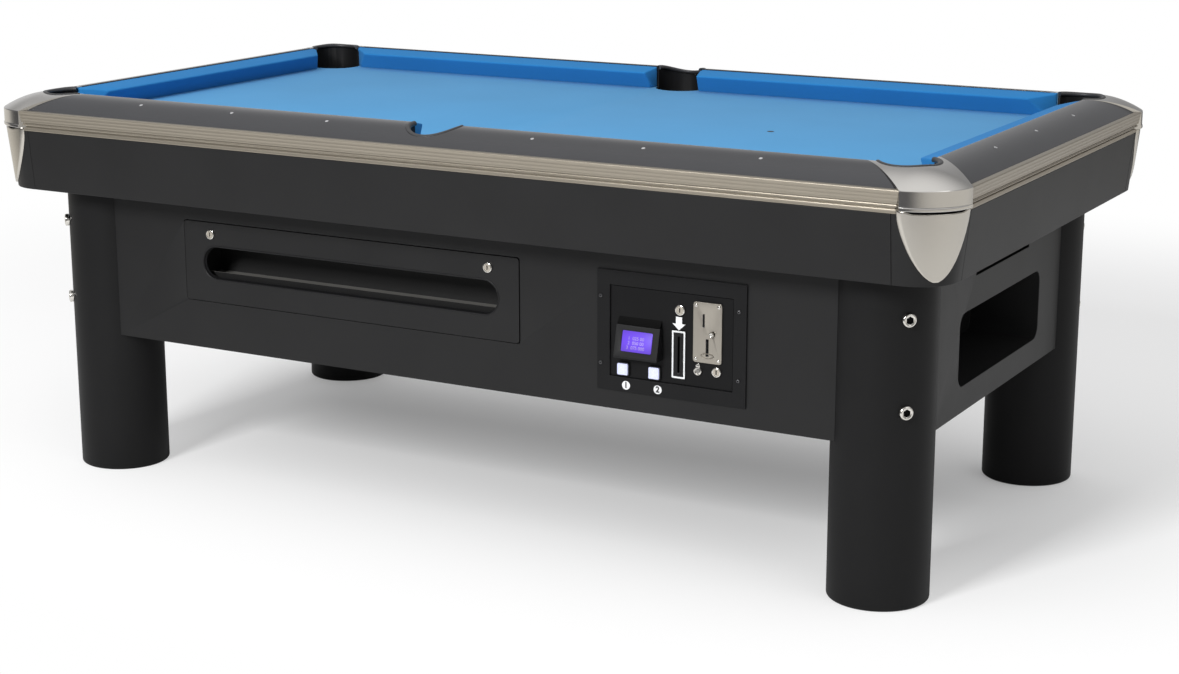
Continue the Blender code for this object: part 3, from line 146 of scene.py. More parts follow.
class PoolTableSizes(bpy.types.PropertyGroup):
    """Small sizes that a user may change."""

    sight_radius: length("Sight Radius", "Radius of each rail sight", 0.0037)
    flute_count: bpy.props.IntProperty(
        name="Flutes", description="Shallow flutes in the trim's wide band", default=3, min=1)
    flute_depth: length("Flute Depth", "Depth of each flute in the trim", 0.0004)
    nose_round: length("Nose Round", "Radius of the cushions' noses", 0.0032)
    panel_edge: length("Panel Edge", "Round on the cabinet's board edges", 0.0012)
    metal_edge: length("Metal Edge", "Round on sheet metal edges", 0.0006)
    spot_radius: length("Spot Radius", "Radius of the spot on the cloth", 0.0075)
    screw_radius: length("Screw Radius", "Radius of the coin frame's screws", 0.0038)


class PoolTableColours(bpy.types.PropertyGroup):
    """Colours of the finishes, linear."""

    cloth: colour("Bed Cloth", "Cloth on the bed", (0.089, 0.310, 0.578))
    # The bed's cloth made darker: painted shade on the cushions.
    cushion: colour("Cushion Cloth", "Cloth on the cushions", (0.025, 0.196, 0.480))
    laminate: colour("Black Laminate", "Cabinet, apron and legs", (0.0115, 0.0115, 0.0118))
    rail: colour("Rail Laminate", "Tops of the rails", (0.0265, 0.0270, 0.0305))
    trim: colour("Trim", "Fluted trim along the rails", (0.30, 0.268, 0.218))
    nickel: colour("Nickel", "Corner castings", (0.56, 0.545, 0.52))
    rubber: colour("Rubber", "Pocket liners", (0.016, 0.016, 0.017))
    chrome: colour("Chrome", "Bolts and screws", (0.66, 0.64, 0.60))
    lock: colour("Lock Face", "Faces of the key locks", (0.42, 0.385, 0.33))
    stainless: colour("Stainless", "Coin plate", (0.33, 0.305, 0.265))
    steel: colour("Black Steel", "Coin frame and door", (0.0060, 0.0060, 0.0065))
    white: colour("White Print", "Arrow, numerals and border", (0.72, 0.73, 0.74))
    screen: colour("Screen", "Lit screen", (0.19, 0.07, 1.0))
    lamp: colour("Lit Button", "Lit button caps", (0.52, 0.55, 0.78))
    tray: colour("Ball Tray", "Sheet of the ball return", (0.17, 0.165, 0.155))
    slate: colour("Slate", "Honed slate", (0.16, 0.165, 0.175))


class PoolTableStage(bpy.types.PropertyGroup):
    """Camera and light."""

    lens: number("Lens", "Focal length on a 36 mm sensor", 67.9, unit='CAMERA')
    place: bpy.props.FloatVectorProperty(
        name="Camera", description="Where the camera stands", default=(2.4004, -4.2234, 1.4945),
        size=3, subtype='TRANSLATION')
    yaw: number("Yaw", "Turn to the left of the table's own axis", math.radians(29.11), subtype='ANGLE')
    pitch: number("Pitch", "Tilt below the horizon", math.radians(13.8), subtype='ANGLE')
    key: number("Key Power", "Lamp in front of the coin side", 330.0, unit='POWER')
    fill: number("Fill Power", "Lamp at the right", 30.0, unit='POWER')
    ambient: number("Ambient", "Level of the light from the room", 0.85, min=0.0)


EVEN = (1, 1, 1)


def adjust(thing, **settings):
    """Gives a thing several settings at once."""
    for key, value in settings.items():
        setattr(thing, key, value)
    return thing


class Value:
    """A shader socket in an expression; Math nodes are added as the expression is read."""

    def __init__(self, finish, socket):
        self.finish = finish
        self.socket = socket

    def maths(self, operation, first, second):
        return self.finish.node("Math", {0: first, 1: second}, operation=operation)

    def __add__(self, other):
        return self.maths('ADD', self, other)

    def __radd__(self, other):
        return self.maths('ADD', other, self)

    def __sub__(self, other):
        return self.maths('SUBTRACT', self, other)

    def __rsub__(self, other):
        return self.maths('SUBTRACT', other, self)

    def __mul__(self, other):
        return self.maths('MULTIPLY', self, other)

    def __rmul__(self, other):
        return self.maths('MULTIPLY', other, self)


class Finish:
    """The nodes of one material or world."""

    def __init__(self, owner):
        self.owner = owner
        owner.use_nodes = True
        self.tree = owner.node_tree
        self.tree.nodes.clear()

    def node(self, kind, sockets=None, out=0, **settings):
        """A node with its settings, then the values or links of its sockets."""
        made = adjust(self.tree.nodes.new("ShaderNode" + kind), **settings)
        for key, value in (sockets or {}).items():
            if isinstance(value, Value):
                self.tree.links.new(value.socket, made.inputs[key])
            else:
                made.inputs[key].default_value = value
        return Value(self, made.outputs[out]) if len(made.outputs) else None

    def place(self, stretch=EVEN, kind="Object"):
        at = self.node("TexCoord", out=kind)
        return self.node("VectorMath", {0: at, 1: stretch}, operation='MULTIPLY')

    def axes(self, at):
        """The three parts of a vector."""
        parts = self.node("SeparateXYZ", {0: at}).socket.node.outputs
        return [Value(self, part) for part in parts]

    def away(self, at, middle):
        """Distance from a middle."""
        return self.node("VectorMath", {0: at, 1: middle}, 1, operation='DISTANCE')

    def noise(self, scale, detail, stretch=EVEN):
        return self.node("TexNoise", {"Vector": self.place(stretch), "Scale": scale, "Detail": detail})

    def steps(self, value, low, high):
        """0 at low, 1 at high, smooth between."""
        return self.node("MapRange", {"Value": value, "From Min": low, "From Max": high},
                         interpolation_type='SMOOTHSTEP')

    def mix(self, factor, first, second):
        """A blend of two colours, each a triple or a socket."""
        first, second = [c if isinstance(c, Value) else (*c, 1.0) for c in (first, second)]
        return self.node("Mix", {0: factor, 6: first, 7: second}, 2, data_type='RGBA')

    def shades(self, factor, colour, darker, lighter):
        """A colour that runs between two shades of itself."""
        return self.mix(factor, [part * darker for part in colour],
                        [min(1.0, part * lighter) for part in colour])

    def bump(self, height, strength, distance):
        return self.node("Bump", {"Height": height, "Strength": strength, "Distance": distance})

    def surface(self, base, roughness, relief=None, **others):
        """A surface from its colour, roughness and relief, and other sockets with _ for each space."""
        sockets = {"Base Color": base, "Roughness": roughness}
        sockets.update((key.replace("_", " "), value) for key, value in others.items())
        if relief:
            sockets["Normal"] = relief
        return self.output(self.node("BsdfPrincipled", sockets))

    def output(self, shader, kind="OutputMaterial"):
        self.node(kind, {"Surface": shader})
        return self.owner


def laminate(finish, colour, gloss, shine):
    """Satin laminate with a fine grain."""
    grain, cloud = finish.noise(1100, 3), finish.noise(7, 3)
    return finish.surface(finish.shades(cloud, colour, 0.82, 1.18), gloss + 0.10 * grain + 0.06 * cloud,
                          finish.bump(grain, 0.10, 0.0003), Specular_IOR_Level=shine)


def brushed(finish, colour, gloss, stretch, metal):
    """Metal with fine lines along one direction."""
    line, cloud = finish.noise(600, 2, stretch), finish.noise(5, 2)
    return finish.surface(finish.shades(0.5 * line + 0.5 * cloud, colour, 0.93, 1.07), gloss + 0.10 * line,
                          finish.bump(line, 0.02, 0.0001), Metallic=metal)


def satin_metal(finish, colour, gloss):
    """Plated metal with a fine sandy satin."""
    sand, cloud = finish.noise(2600, 2), finish.noise(16, 3)
    return finish.surface(finish.shades(0.5 * sand + 0.5 * cloud, colour, 0.93, 1.06),
                          gloss + 0.05 * cloud + 0.03 * sand, finish.bump(sand, 0.05, 0.0001), Metallic=1.0)


def worsted(finish, colour):
    """Napless wool cloth: a fine weave, stray fibres and a faint cloud."""
    weft, warp = [finish.node("TexWave", {"Vector": finish.place(), "Scale": 310}, bands_direction=way)
                  for way in 'XY']
    fibre, cloud = finish.noise(1500, 3), finish.noise(5, 3)
    weave = 0.3 * weft + 0.3 * warp + 0.4 * fibre
    return finish.surface(finish.shades(0.55 * cloud + 0.45 * fibre, colour, 0.90, 1.10), 0.86 + 0.12 * fibre,
                          finish.bump(weave, 0.18, 0.0004), Specular_IOR_Level=0.12,
                          Sheen_Weight=0.03, Sheen_Roughness=0.5)


def moulded(finish, colour, gloss, pebble, depth, shine):
    """Moulded rubber or plastic, or powder coat, with a pebbled skin."""
    skin, cloud = finish.noise(pebble, 2), finish.noise(12, 2)
    return finish.surface(finish.shades(cloud, colour, 0.85, 1.2), gloss + 0.14 * skin,
                          finish.bump(skin, depth, 0.0003), Specular_IOR_Level=shine)


def plated(finish, colour):
    """Bright plate with finger marks."""
    smudge = finish.noise(90, 3)
    return finish.surface(finish.shades(smudge, colour, 0.93, 1.05), 0.10 + 0.16 * smudge, Metallic=1.0)


def honed(finish, colour):
    """Honed slate with faint veins."""
    vein = finish.noise(14, 5, (1, 3, 1))
    return finish.surface(finish.shades(vein, colour, 0.75, 1.25), 0.62 + 0.12 * vein,
                          finish.bump(vein, 0.1, 0.0006))


def lit_screen(finish, colour):
    """A lit panel, a little darker at its rim, under clear glass."""
    rim = finish.steps(finish.away(finish.place(kind="Generated"), (0.5, 0.5, 0.5)), 0.25, 0.95)
    cell = finish.noise(1300, 1)
    glow = finish.shades(0.75 * rim + 0.25 * cell, colour, 1.0, 0.62)
    return finish.surface((0.02, 0.02, 0.03, 1.0), 0.34 + 0.05 * cell, Specular_IOR_Level=0.2,
                          Emission_Color=glow, Emission_Strength=0.95)


def lit_cap(finish, colour):
    """A milky cap with a lamp behind its middle."""
    rim = finish.steps(finish.away(finish.place(kind="Generated"), (0.5, 0.0, 0.5)), 0.15, 0.8)
    haze = finish.noise(260, 2)
    return finish.surface(finish.shades(haze, colour, 0.92, 1.05), 0.22 + 0.1 * haze,
                          Emission_Color=finish.mix(rim, (1.0, 1.0, 1.0), colour), Emission_Strength=0.16)


def printed(finish, colour, gloss):
    """Screen print with a slightly uneven edge of ink."""
    ink = finish.noise(700, 3)
    return finish.surface(finish.shades(ink, colour, 0.9, 1.08), gloss + 0.1 * ink)


# Each finish: its maker, its colour (a setting's name or its own), a share of that colour, the maker's other values.
FINISHES = {
    "black_laminate": (laminate, "laminate", 1.0, 0.40, 0.22),
    "leg_laminate": (laminate, "laminate", 0.8, 0.44, 0.12),
    "rail_laminate": (laminate, "rail", 1.0, 0.10, 0.46),
    "trim_lengthwise": (brushed, "trim", 1.0, 0.34, (0.002, 1, 1), 0.7),
    "trim_crosswise": (brushed, "trim", 1.0, 0.34, (1, 0.002, 1), 0.7),
    "satin_nickel": (satin_metal, "nickel", 1.0, 0.14),
    "shield_nickel": (satin_metal, (0.50, 0.475, 0.43), 1.0, 0.19),
    "sight_pearl": (brushed, (0.46, 0.46, 0.47), 1.0, 0.34, EVEN, 0.3),
    "bed_worsted": (worsted, "cloth", 1.0),
    # Same cloth as the bed, darker colour as painted shade.
    "cushion_worsted": (worsted, "cushion", 1.0),
    # One pocket rubber in two shades: 0.4 of its colour inside the pocket as painted shade, twice it on the rolled
    # rim as painted light.
    "liner_rubber": (moulded, "rubber", 0.4, 0.45, 900, 0.12, 0.2),
    "rim_rubber": (moulded, "rubber", 2.0, 0.38, 900, 0.10, 0.5),
    "chrome": (plated, "chrome", 1.0),
    "lock_face": (brushed, "lock", 1.0, 0.36, EVEN, 0.45),
    "stainless": (brushed, "stainless", 1.0, 0.26, (1, 1, 0.02), 0.7),
    "powder_coat": (moulded, "steel", 1.0, 0.42, 1500, 0.16, 0.17),
    "door_coat": (moulded, "steel", 0.8, 0.44, 1500, 0.12, 0.14),
    "bezel_plastic": (moulded, "steel", 1.3, 0.36, 1900, 0.10, 0.22),
    "black_screw": (brushed, (0.10, 0.10, 0.105), 1.0, 0.30, EVEN, 0.8),
    "zinc_case": (brushed, (0.20, 0.20, 0.205), 1.0, 0.42, (1, 1, 5), 0.6),
    "box_steel": (moulded, (0.016, 0.016, 0.017), 1.0, 0.5, 1500, 0.1, 0.2),
    # Near black painted shade, put on slits, gaps, recesses, keyways and sockets where shade falls.
    "dark_hollow": (moulded, (0.002, 0.002, 0.002), 1.0, 0.6, 1500, 0.1, 0.1),
    "white_print": (printed, "white", 1.0, 0.42),
    "black_print": (printed, "steel", 1.0, 0.5),
    "screen_light": (lit_screen, "screen", 1.0),
    "screen_figure": (lit_screen, (0.62, 0.50, 1.0), 1.0),
    "lit_cap": (lit_cap, "lamp", 1.0),
    "tray_sheet": (moulded, "tray", 1.0, 0.36, 500, 0.08, 0.3),
    # Near black painted shade for the ball return's walls and upper faces.
    "runway_black": (moulded, (0.010, 0.010, 0.010), 1.0, 0.45, 500, 0.08, 0.3),
    "honed_slate": (honed, "slate", 1.0),
}


def finish(name):
    """The named material, made when it is first asked for; the frame has plain ones under the bare names."""
    made = bpy.data.materials.get("table_" + name)
    if made is None:
        make, tint, share, *rest = FINISHES[name]
        if isinstance(tint, str):
            tint = getattr(bpy.context.scene.pool_table_colours, tint)
        made = make(Finish(bpy.data.materials.new("table_" + name)), [share * part for part in tint], *rest)
    return made


def mm(*points):
    """Points given in millimetres."""
    return [(x / 1000, y / 1000) for x, y in points]


def spaced(start, end, steps):
    """Even steps from a start to an end."""
    return [start + (end - start) * i / steps for i in range(steps + 1)]


def arc(x, y, radius, start, end, steps):
    """Points on an arc; angles in degrees."""
    angles = [math.radians(angle) for angle in spaced(start, end, steps)]
    return [(x + radius * math.cos(a), y + radius * math.sin(a)) for a in angles]


def round_box(width, height, radius, steps=6):
    """A rectangle about the origin with round corners."""
    points = []
    for quarter, (sx, sy) in enumerate(((1, 1), (-1, 1), (-1, -1), (1, -1))):
        points += arc(sx * (width / 2 - radius), sy * (height / 2 - radius), radius,
                      90 * quarter, 90 * quarter + 90, steps)
    return points


def circle(radius, steps=48):
    return arc(0, 0, radius, 0, 360 - 360 / steps, steps - 1)


def hexagon(radius, steps=48):
    """A hexagon walked in as many points as a circle beside it."""
    half = math.pi / 6
    turns = [2 * math.pi * i / steps for i in range(steps)]
    reaches = [radius * math.cos(half) / math.cos(turn % (2 * half) - half) for turn in turns]
    return [(r * math.cos(turn), r * math.sin(turn)) for r, turn in zip(reaches, turns)]


def keyway(width, height):
    """A narrow rectangle walked in as many points as a circle beside it."""
    points = []
    for c, s in circle(1.0):
        reach = min(width / 2 / max(abs(c), 1e-9), height / 2 / max(abs(s), 1e-9))
        points.append((reach * c, reach * s))
    return points


def area(outline):
    """The area of a closed outline, negative where it runs clockwise."""
    before = outline[-1:] + outline[:-1]
    return sum(x0 * y1 - x1 * y0 for (x0, y0), (x1, y1) in zip(before, outline)) / 2


def inset(outline, amount):
    """A closed outline moved inwards."""
    side = 1 if area(outline) > 0 else -1
    moved = []
    for (x0, y0), (x, y), (x2, y2) in zip(outline[-1:] + outline[:-1], outline, outline[1:] + outline[:1]):
        before = Vector((x - x0, y - y0)).normalized()
        after = Vector((x2 - x, y2 - y)).normalized()
        normal = (before + after).orthogonal().normalized() * side
        stretch = max(0.35, normal.dot(after.orthogonal() * side))
        moved.append((x + normal.x * amount / stretch, y + normal.y * amount / stretch))
    return moved


def ring(outline, height, place):
    return [place @ Vector((x, y, height)) for x, y in outline]


def on_front(x, z, y):
    """A place on the front: X to the right, Y up, Z towards the player."""
    return Matrix.Translation((x, y, z)) @ Matrix.Rotation(math.radians(90), 4, 'X')


def mid_front(node, y):
    """A place on the front at the middle of a node."""
    low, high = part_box(node)
    return on_front((low.x + high.x) / 2, (low.z + high.z) / 2, y)


def placed(name, data):
    """A new object in the scene."""
    made = bpy.data.objects.new(name, data)
    bpy.context.scene.collection.objects.link(made)
    return made


def final_mesh(made):
    """A mesh of what an object's curve or modifiers give."""
    return bpy.data.meshes.new_from_object(made.evaluated_get(bpy.context.evaluated_depsgraph_get()))


class Shape:
    """Mesh code for one piece."""

    def __init__(self):
        self.bm = bmesh.new()

    def loft(self, rings, slots=0, loop=False):
        """Faces between closed rings of points, closed by end faces or run round to the start."""
        rows = [[self.bm.verts.new(point) for point in points] for points in rings]
        bands = []
        for first, second in zip(rows, rows[1:] + (rows[:1] if loop else [])):
            turned = zip(first, first[1:] + first[:1], second[1:] + second[:1], second)
            bands.append([self.bm.faces.new(corners) for corners in turned])
        if not loop:
            bands[0].append(self.bm.faces.new(rows[0][::-1]))
            bands[-1].append(self.bm.faces.new(rows[-1]))
        for i, band in enumerate(bands):
            for face in band:
                face.material_index = slots if isinstance(slots, int) else slots[i]
        return self

    def lathe(self, profile, place, slot=0, steps=48):
        """A profile of (radius, height) turned about a place's own Z."""
        return self.loft([ring(circle(radius, steps), height, place) for radius, height in profile], slot)

    def prism(self, outline, low, high, place=Matrix(), slot=0, edge=0.0, steps=3):
        """An outline between two heights, with a rounded upper edge."""
        rings = [ring(outline, low, place)]
        for x, y in arc(1, 1, -1, 0, 90, steps) if edge else [(0, 1)]:
            rings.append(ring(inset(outline, edge * x), high - edge * y, place))
        return self.loft(rings, slot)

    def band(self, width, height, radius, profile, place, steps=6):
        """A closed section of (inset, height) run round a rectangle with round corners."""
        return self.loft([
            ring(round_box(width - 2 * amount, height - 2 * amount, max(radius - amount, 0.0002), steps), rise, place)
            for amount, rise in profile], loop=True)

    def figures(self, text, size, thickness, place, slot=0, weight=0.0):
        """Plain figures as flat raised shapes."""
        curve = adjust(bpy.data.curves.new("figures", 'FONT'), body=text, size=size, align_x='CENTER',
                       align_y='CENTER', extrude=thickness / 2, offset=weight, resolution_u=4)
        flat = placed("figures", curve)
        mesh = final_mesh(flat)
        bpy.data.objects.remove(flat)
        bpy.data.curves.remove(curve)
        mesh.transform(place)
        known = len(self.bm.faces)
        self.bm.from_mesh(mesh)
        bpy.data.meshes.remove(mesh)
        self.bm.faces.ensure_lookup_table()
        for face in self.bm.faces[known:]:
            face.material_index = slot
        bmesh.ops.remove_doubles(self.bm, verts=self.bm.verts, dist=1e-7)
        return self

    def made(self, name):
        """The shape as an object of the scene."""
        bmesh.ops.recalc_face_normals(self.bm, faces=self.bm.faces)
        mesh = bpy.data.meshes.new(name)
        self.bm.to_mesh(mesh)
        self.bm.free()
        return placed(name, mesh)


def piece(name, shape, finishes, body="table", stands_for=None, smooth=38.0):
    """An object from mesh code, dressed, riding on its body and standing for its node."""
    made = shape.made(name)
    for one in finishes.split():
        made.data.materials.append(finish(one))
    shade(made.data, smooth)
    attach(made, body)
    if stands_for:
        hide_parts(stands_for)
    return made


def shade(mesh, smooth):
    mesh.polygons.foreach_set("use_smooth", [True] * len(mesh.polygons))
    mesh.set_sharp_from_angle(angle=math.radians(smooth))


def eased(node, finishes, edge, body="table", steps=2, second=None):
    """A node's own shape with its sharp edges eased; a test may give some faces the second finish."""
    shape = Shape()
    shape.bm.from_mesh(NODES[node].data)
    bmesh.ops.remove_doubles(shape.bm, verts=shape.bm.verts, dist=WELD)
    bmesh.ops.dissolve_limit(shape.bm, angle_limit=math.radians(FLAT_BELOW), verts=shape.bm.verts,
                             edges=shape.bm.edges)
    for face in shape.bm.faces:
        face.material_index = 0
    made = piece(node + "_eased", shape, finishes, body, node, EASED_ABOVE)
    adjust(made.modifiers.new("eased_edges", 'BEVEL'), width=edge, segments=steps, limit_method='ANGLE',
           angle_limit=math.radians(EASED_ABOVE), harden_normals=True)
    for face in made.data.polygons if second else ():
        face.material_index = int(second(face))


def ease_all(start, finishes, edge):
    """Eases every node whose name starts so."""
    for node in NODES:
        if node.startswith(start):
            eased(node, finishes, edge)


def cut_pocket(made, x, y, smooth):
    """Cuts a pocket's round out of a piece and keeps the result as its mesh."""
    tool = Shape().lathe([(POCKET_CUT, BED_TOP - 0.05), (POCKET_CUT, BED_TOP + 0.1)],
                         Matrix.Translation((x, y, 0)), steps=120).made("pocket_tool")
    adjust(made.modifiers.new("cut", 'BOOLEAN'), object=tool, solver='EXACT')
    result = final_mesh(made)
    made.modifiers.clear()
    old = made.data
    result.name = old.name
    made.data = result
    bpy.data.meshes.remove(old)
    bpy.data.objects.remove(tool)
    shade(result, smooth)


def crown(out, outer=RAIL_OUTER, edge=TRIM_TOP):
    """Height of the rails' convex top at a distance out from the nose."""
    share = (out - RAIL_INNER) / (outer - RAIL_INNER)
    return RAIL_TOP - share ** 2 * (RAIL_TOP - edge)


def at_side(side, run, out, height):
    """A point beside the field: along a side, out from its nose, and up."""
    along, outward, reach, _ = SIDES[side]
    return along * run + outward * (reach + out) + Vector((0, 0, height))


def side_loft(side, section, runs):
    """A closed section run along one side between its two corner castings."""
    room = SIDES[side][3] - (CASTING_HALF + FIT) * ROOT2
    rings = [[at_side(side, run, out, z) for out, z in section] for run in runs]
    first, last = [[at_side(side, sign * (room + out), out, z) for out, z in section] for sign in (-1, 1)]
    return Shape().loft([first] + rings + [last])


def at_corner(corner, out, across, height):
    """A point on a corner's sweep: a distance out from the noses and across from the diagonal."""
    sx, sy = CORNERS[corner]
    reach = out - RAIL_INNER
    if abs(across) * ROOT2 <= reach:
        along = RAIL_INNER * ROOT2 + math.sqrt(max(0.0, reach ** 2 - across ** 2))
    else:
        along = ROOT2 * out - abs(across)
    turn = math.atan2(sy, sx)
    return Vector((sx * HALF_LENGTH + along * math.cos(turn) - across * math.sin(turn),
                   sy * HALF_WIDTH + along * math.sin(turn) + across * math.cos(turn), height))


def apron_face(height):
    """Distance out of the apron's face at a height."""
    return APRON_OUTER - APRON_TAPER * (APRON_TOP - height) / (APRON_TOP - APRON_LOW)


class POOLTABLE_OT_stage(bpy.types.Operator):
    """Camera, lamps, even light and the pale floor"""

    bl_idname = "pooltable.stage"
    bl_label = "Stage"

    # Side and place of each lamp.
    key = (1.6, (-0.6, -5.8, 3.5))
    fill = (3.0, (5.0, -1.5, 3.6))
    lamp_aim = Vector((0, 0, 0.6))
    floor_radius = 60.0
    floor_thickness = 0.02

    def execute(self, context):
        scene = context.scene
        settings = scene.pool_table_stage
        scene.view_settings.view_transform = 'Standard'
        camera = adjust(bpy.data.cameras.new("camera"), lens=settings.lens, sensor_width=36.0)
        scene.camera = adjust(placed("camera", camera), location=settings.place,
                              rotation_euler=(math.radians(90) - settings.pitch, 0, settings.yaw))
        self.lamp("key_lamp", settings.key, *self.key)
        self.lamp("fill_lamp", settings.fill, *self.fill)
        self.world(scene, settings.ambient)
        self.floor()
        return {'FINISHED'}

    def lamp(self, name, power, side, place):
        light = adjust(bpy.data.lights.new(name, 'AREA'), energy=power, size=side)
        turn = (self.lamp_aim - Vector(place)).to_track_quat('-Z', 'Y').to_euler()
        adjust(placed(name, light), location=place, rotation_euler=turn, visible_camera=False)

    def world(self, scene, level):
        """White behind the table; for other rays a room, bright overhead, dim at the front left, pale behind."""
        scene.world = bpy.data.worlds.new("room_light")
        air = Finish(scene.world)
        right, back, up = air.axes(air.place(kind="Generated"))
        wall = air.mix(0.5 * air.steps(right, -0.4, 0.9) + 0.5 * air.steps(back, -0.5, 0.9),
                       (0.18, 0.18, 0.19), (0.54, 0.54, 0.54))
        backdrop = ((1 - air.steps(right, -0.6, 0.0)) * air.steps(back, 0.0, 0.5)
                    * (1 - air.steps(up, 0.30, 0.76)))
        wall = air.mix(backdrop, wall, (0.82, 0.82, 0.83))
        room = air.mix(air.steps(up, 0.42, 1.0), wall, (1.36, 1.36, 1.36))
        lit = air.node("Background", {"Color": room, "Strength": level})
        white = air.node("Background", {"Color": (1, 1, 1, 1), "Strength": 1.0})
        camera = air.node("LightPath", out="Is Camera Ray")
        air.output(air.node("MixShader", {0: camera, 1: lit, 2: white}), "OutputWorld")

    def floor(self):
        floor = Shape().prism(circle(self.floor_radius, 64), -self.floor_thickness, 0.0).made("floor")
        paper = Finish(bpy.data.materials.new("floor_paper"))
        far = paper.away(paper.place(), (0.3, 0.8, 0))
        open_floor = paper.away(paper.place((0.8, 1.25, 1)), (0.25, 1.5, 0))
        lit = paper.node("BsdfPrincipled", {
            "Base Color": paper.shades(paper.noise(3, 2), (0.95, 0.95, 0.95), 0.995, 1.005),
            "Roughness": 0.9, "Specular IOR Level": 0.0})
        camera, glossy = [paper.node("LightPath", out=ray) for ray in ("Is Camera Ray", "Is Glossy Ray")]
        right, back, _ = paper.axes(paper.place())
        left_end = paper.steps(back, -3.6, -0.6) * (1 - paper.steps(right, -3.0, -1.0))
        mirrored = paper.mix(paper.steps(right, 0.7, 5.0) + left_end, (0.10, 0.10, 0.105), (0.80, 0.77, 0.71))
        glow = paper.node("Emission", {"Color": paper.mix(camera, mirrored, (1, 1, 1)), "Strength": 1.0})
        share = (0.22 + 0.78 * paper.steps(open_floor, 1.5, 3.2)) * camera + glossy * paper.steps(far, 2.6, 4.4)
        floor.data.materials.append(paper.output(paper.node("MixShader", {0: share, 1: lit, 2: glow})))


class POOLTABLE_OT_bed(bpy.types.Operator):
    """Cloth stretched over the slate, and its spot"""

    bl_idname = "pooltable.bed"
    bl_label = "Bed Cloth"

    bite_steps = 28
    cloth_edge = 0.0006

    def outline(self):
        """The cut of the cloth: a rectangle with a bite for each pocket."""
        edge = math.degrees(math.acos((CLOTH_MARGIN - CORNER_POCKET_OUT) / POCKET_CUT))
        lip = math.degrees(math.asin((CLOTH_MARGIN - SIDE_POCKET_OUT) / POCKET_CUT))
        right = arc(HALF_LENGTH + CORNER_POCKET_OUT, HALF_WIDTH + CORNER_POCKET_OUT, POCKET_CUT,
                    -edge, edge - 270, self.bite_steps)
        side = arc(0, HALF_WIDTH + SIDE_POCKET_OUT, POCKET_CUT, lip, -180 - lip, self.bite_steps)
        far_half = right + side + [(-x, y) for x, y in reversed(right)]
        return far_half + [(-x, -y) for x, y in far_half]

    def execute(self, context):
        radius = context.scene.pool_table_sizes.spot_radius
        outline = self.outline()
        shape = Shape().prism(outline, CLOTH_UNDER, BED_TOP, edge=self.cloth_edge, steps=2)
        bmesh.ops.triangulate(shape.bm, faces=[face for face in shape.bm.faces if len(face.verts) > 4])
        cloth = piece("cloth_on_bed", shape, "bed_worsted", stands_for="bed_cloth")
        spot = Shape().lathe([(radius, BED_TOP + 0.00004), (radius, BED_TOP + 0.00016),
                              (radius - 0.0004, BED_TOP + 0.00028)],
                             Matrix.Translation((2 * SQUARE, 0, 0)), steps=40)
        mark = piece("foot_spot", spot, "black_print")
        abs(area(outline))
        slate = NODES["slate"].data.materials
        slate.clear()
        slate.append(finish("honed_slate"))
        return {'FINISHED'}


class POOLTABLE_OT_cushions(bpy.types.Operator):
    """Six cushions in cloth, their ends cut back towards the pockets"""

    bl_idname = "pooltable.cushions"
    bl_label = "Cushions"

    bow = 0.0006
    end_round = 0.003
    run_steps = 12

    def section(self, nose):
        """The cushion seen from its end: (distance out from the nose, height)."""
        def between(start, end, shares, swell):
            return [tuple(a + share * (b - a) + bow * math.sin(math.pi * share)
                          for a, b, bow in zip(start, end, swell)) for share in shares]

        back, foot = (CUSHION_BACK, CUSHION_TOP), (CUSHION_FOOT, CUSHION_SEAT)
        front = arc(nose, NOSE_HEIGHT, nose, 102, 212, 9)
        top = between(back, front[0], (0.0, 0.25, 0.5, 0.75), (0.0, self.bow))
        face = between(front[-1], foot, (0.3, 0.65), (self.bow, 0.0))
        return top + front + face + [foot, (CUSHION_BACK, CUSHION_SEAT)]

    def stop(self, kind, half_run, out):
        """Where the end lies along its side at a distance out, clear of the pocket's liner."""
        clear = POCKET_RADIUS + 2 * FIT
        if kind == "corner":
            room = math.sqrt(clear ** 2 - (out - CORNER_POCKET_OUT) ** 2)
            return min(half_run - CORNER_REACH + out / math.tan(CORNER_FACING),
                       half_run + CORNER_POCKET_OUT - room)
        room = math.sqrt(max(0.0, clear ** 2 - (out - SIDE_POCKET_OUT) ** 2))
        return max(SIDE_REACH - out / math.tan(SIDE_FACING), room)

    def end_rings(self, side, section, sign, kind):
        """Rings from the very end inwards, rounding over its edge."""
        inward = -sign if kind == "corner" else sign
        rings = []
        for share in (0.0, 0.15, 0.4, 1.0):
            depth = share * self.end_round
            amount = self.end_round - math.sqrt(self.end_round ** 2 - (self.end_round - depth) ** 2)
            rings.append([at_side(side, sign * self.stop(kind, SIDES[side][3], out) + inward * depth, out, z)
                          for out, z in inset(section, amount)])
        return rings

    def cushion(self, name, side, start, end, nose):
        section = self.section(nose)
        first = self.end_rings(side, section, *start)
        last = self.end_rings(side, section, *end)
        middle = [[a.lerp(b, i / self.run_steps) for a, b in zip(first[-1], last[-1])]
                  for i in range(1, self.run_steps)]
        made = piece(name + "_covered", Shape().loft(first + middle + last[::-1]), "cushion_worsted",
                     stands_for=name, smooth=50)

    def execute(self, context):
        nose = context.scene.pool_table_sizes.nose_round
        for side in ("front", "rear"):
            self.cushion(f"cushion_{side}_left", side, (-1, "corner"), (-1, "side"), nose)
            self.cushion(f"cushion_{side}_right", side, (1, "side"), (1, "corner"), nose)
        for side in ("left", "right"):
            self.cushion(f"cushion_{side}_end", side, (-1, "corner"), (1, "corner"), nose)
        return {'FINISHED'}


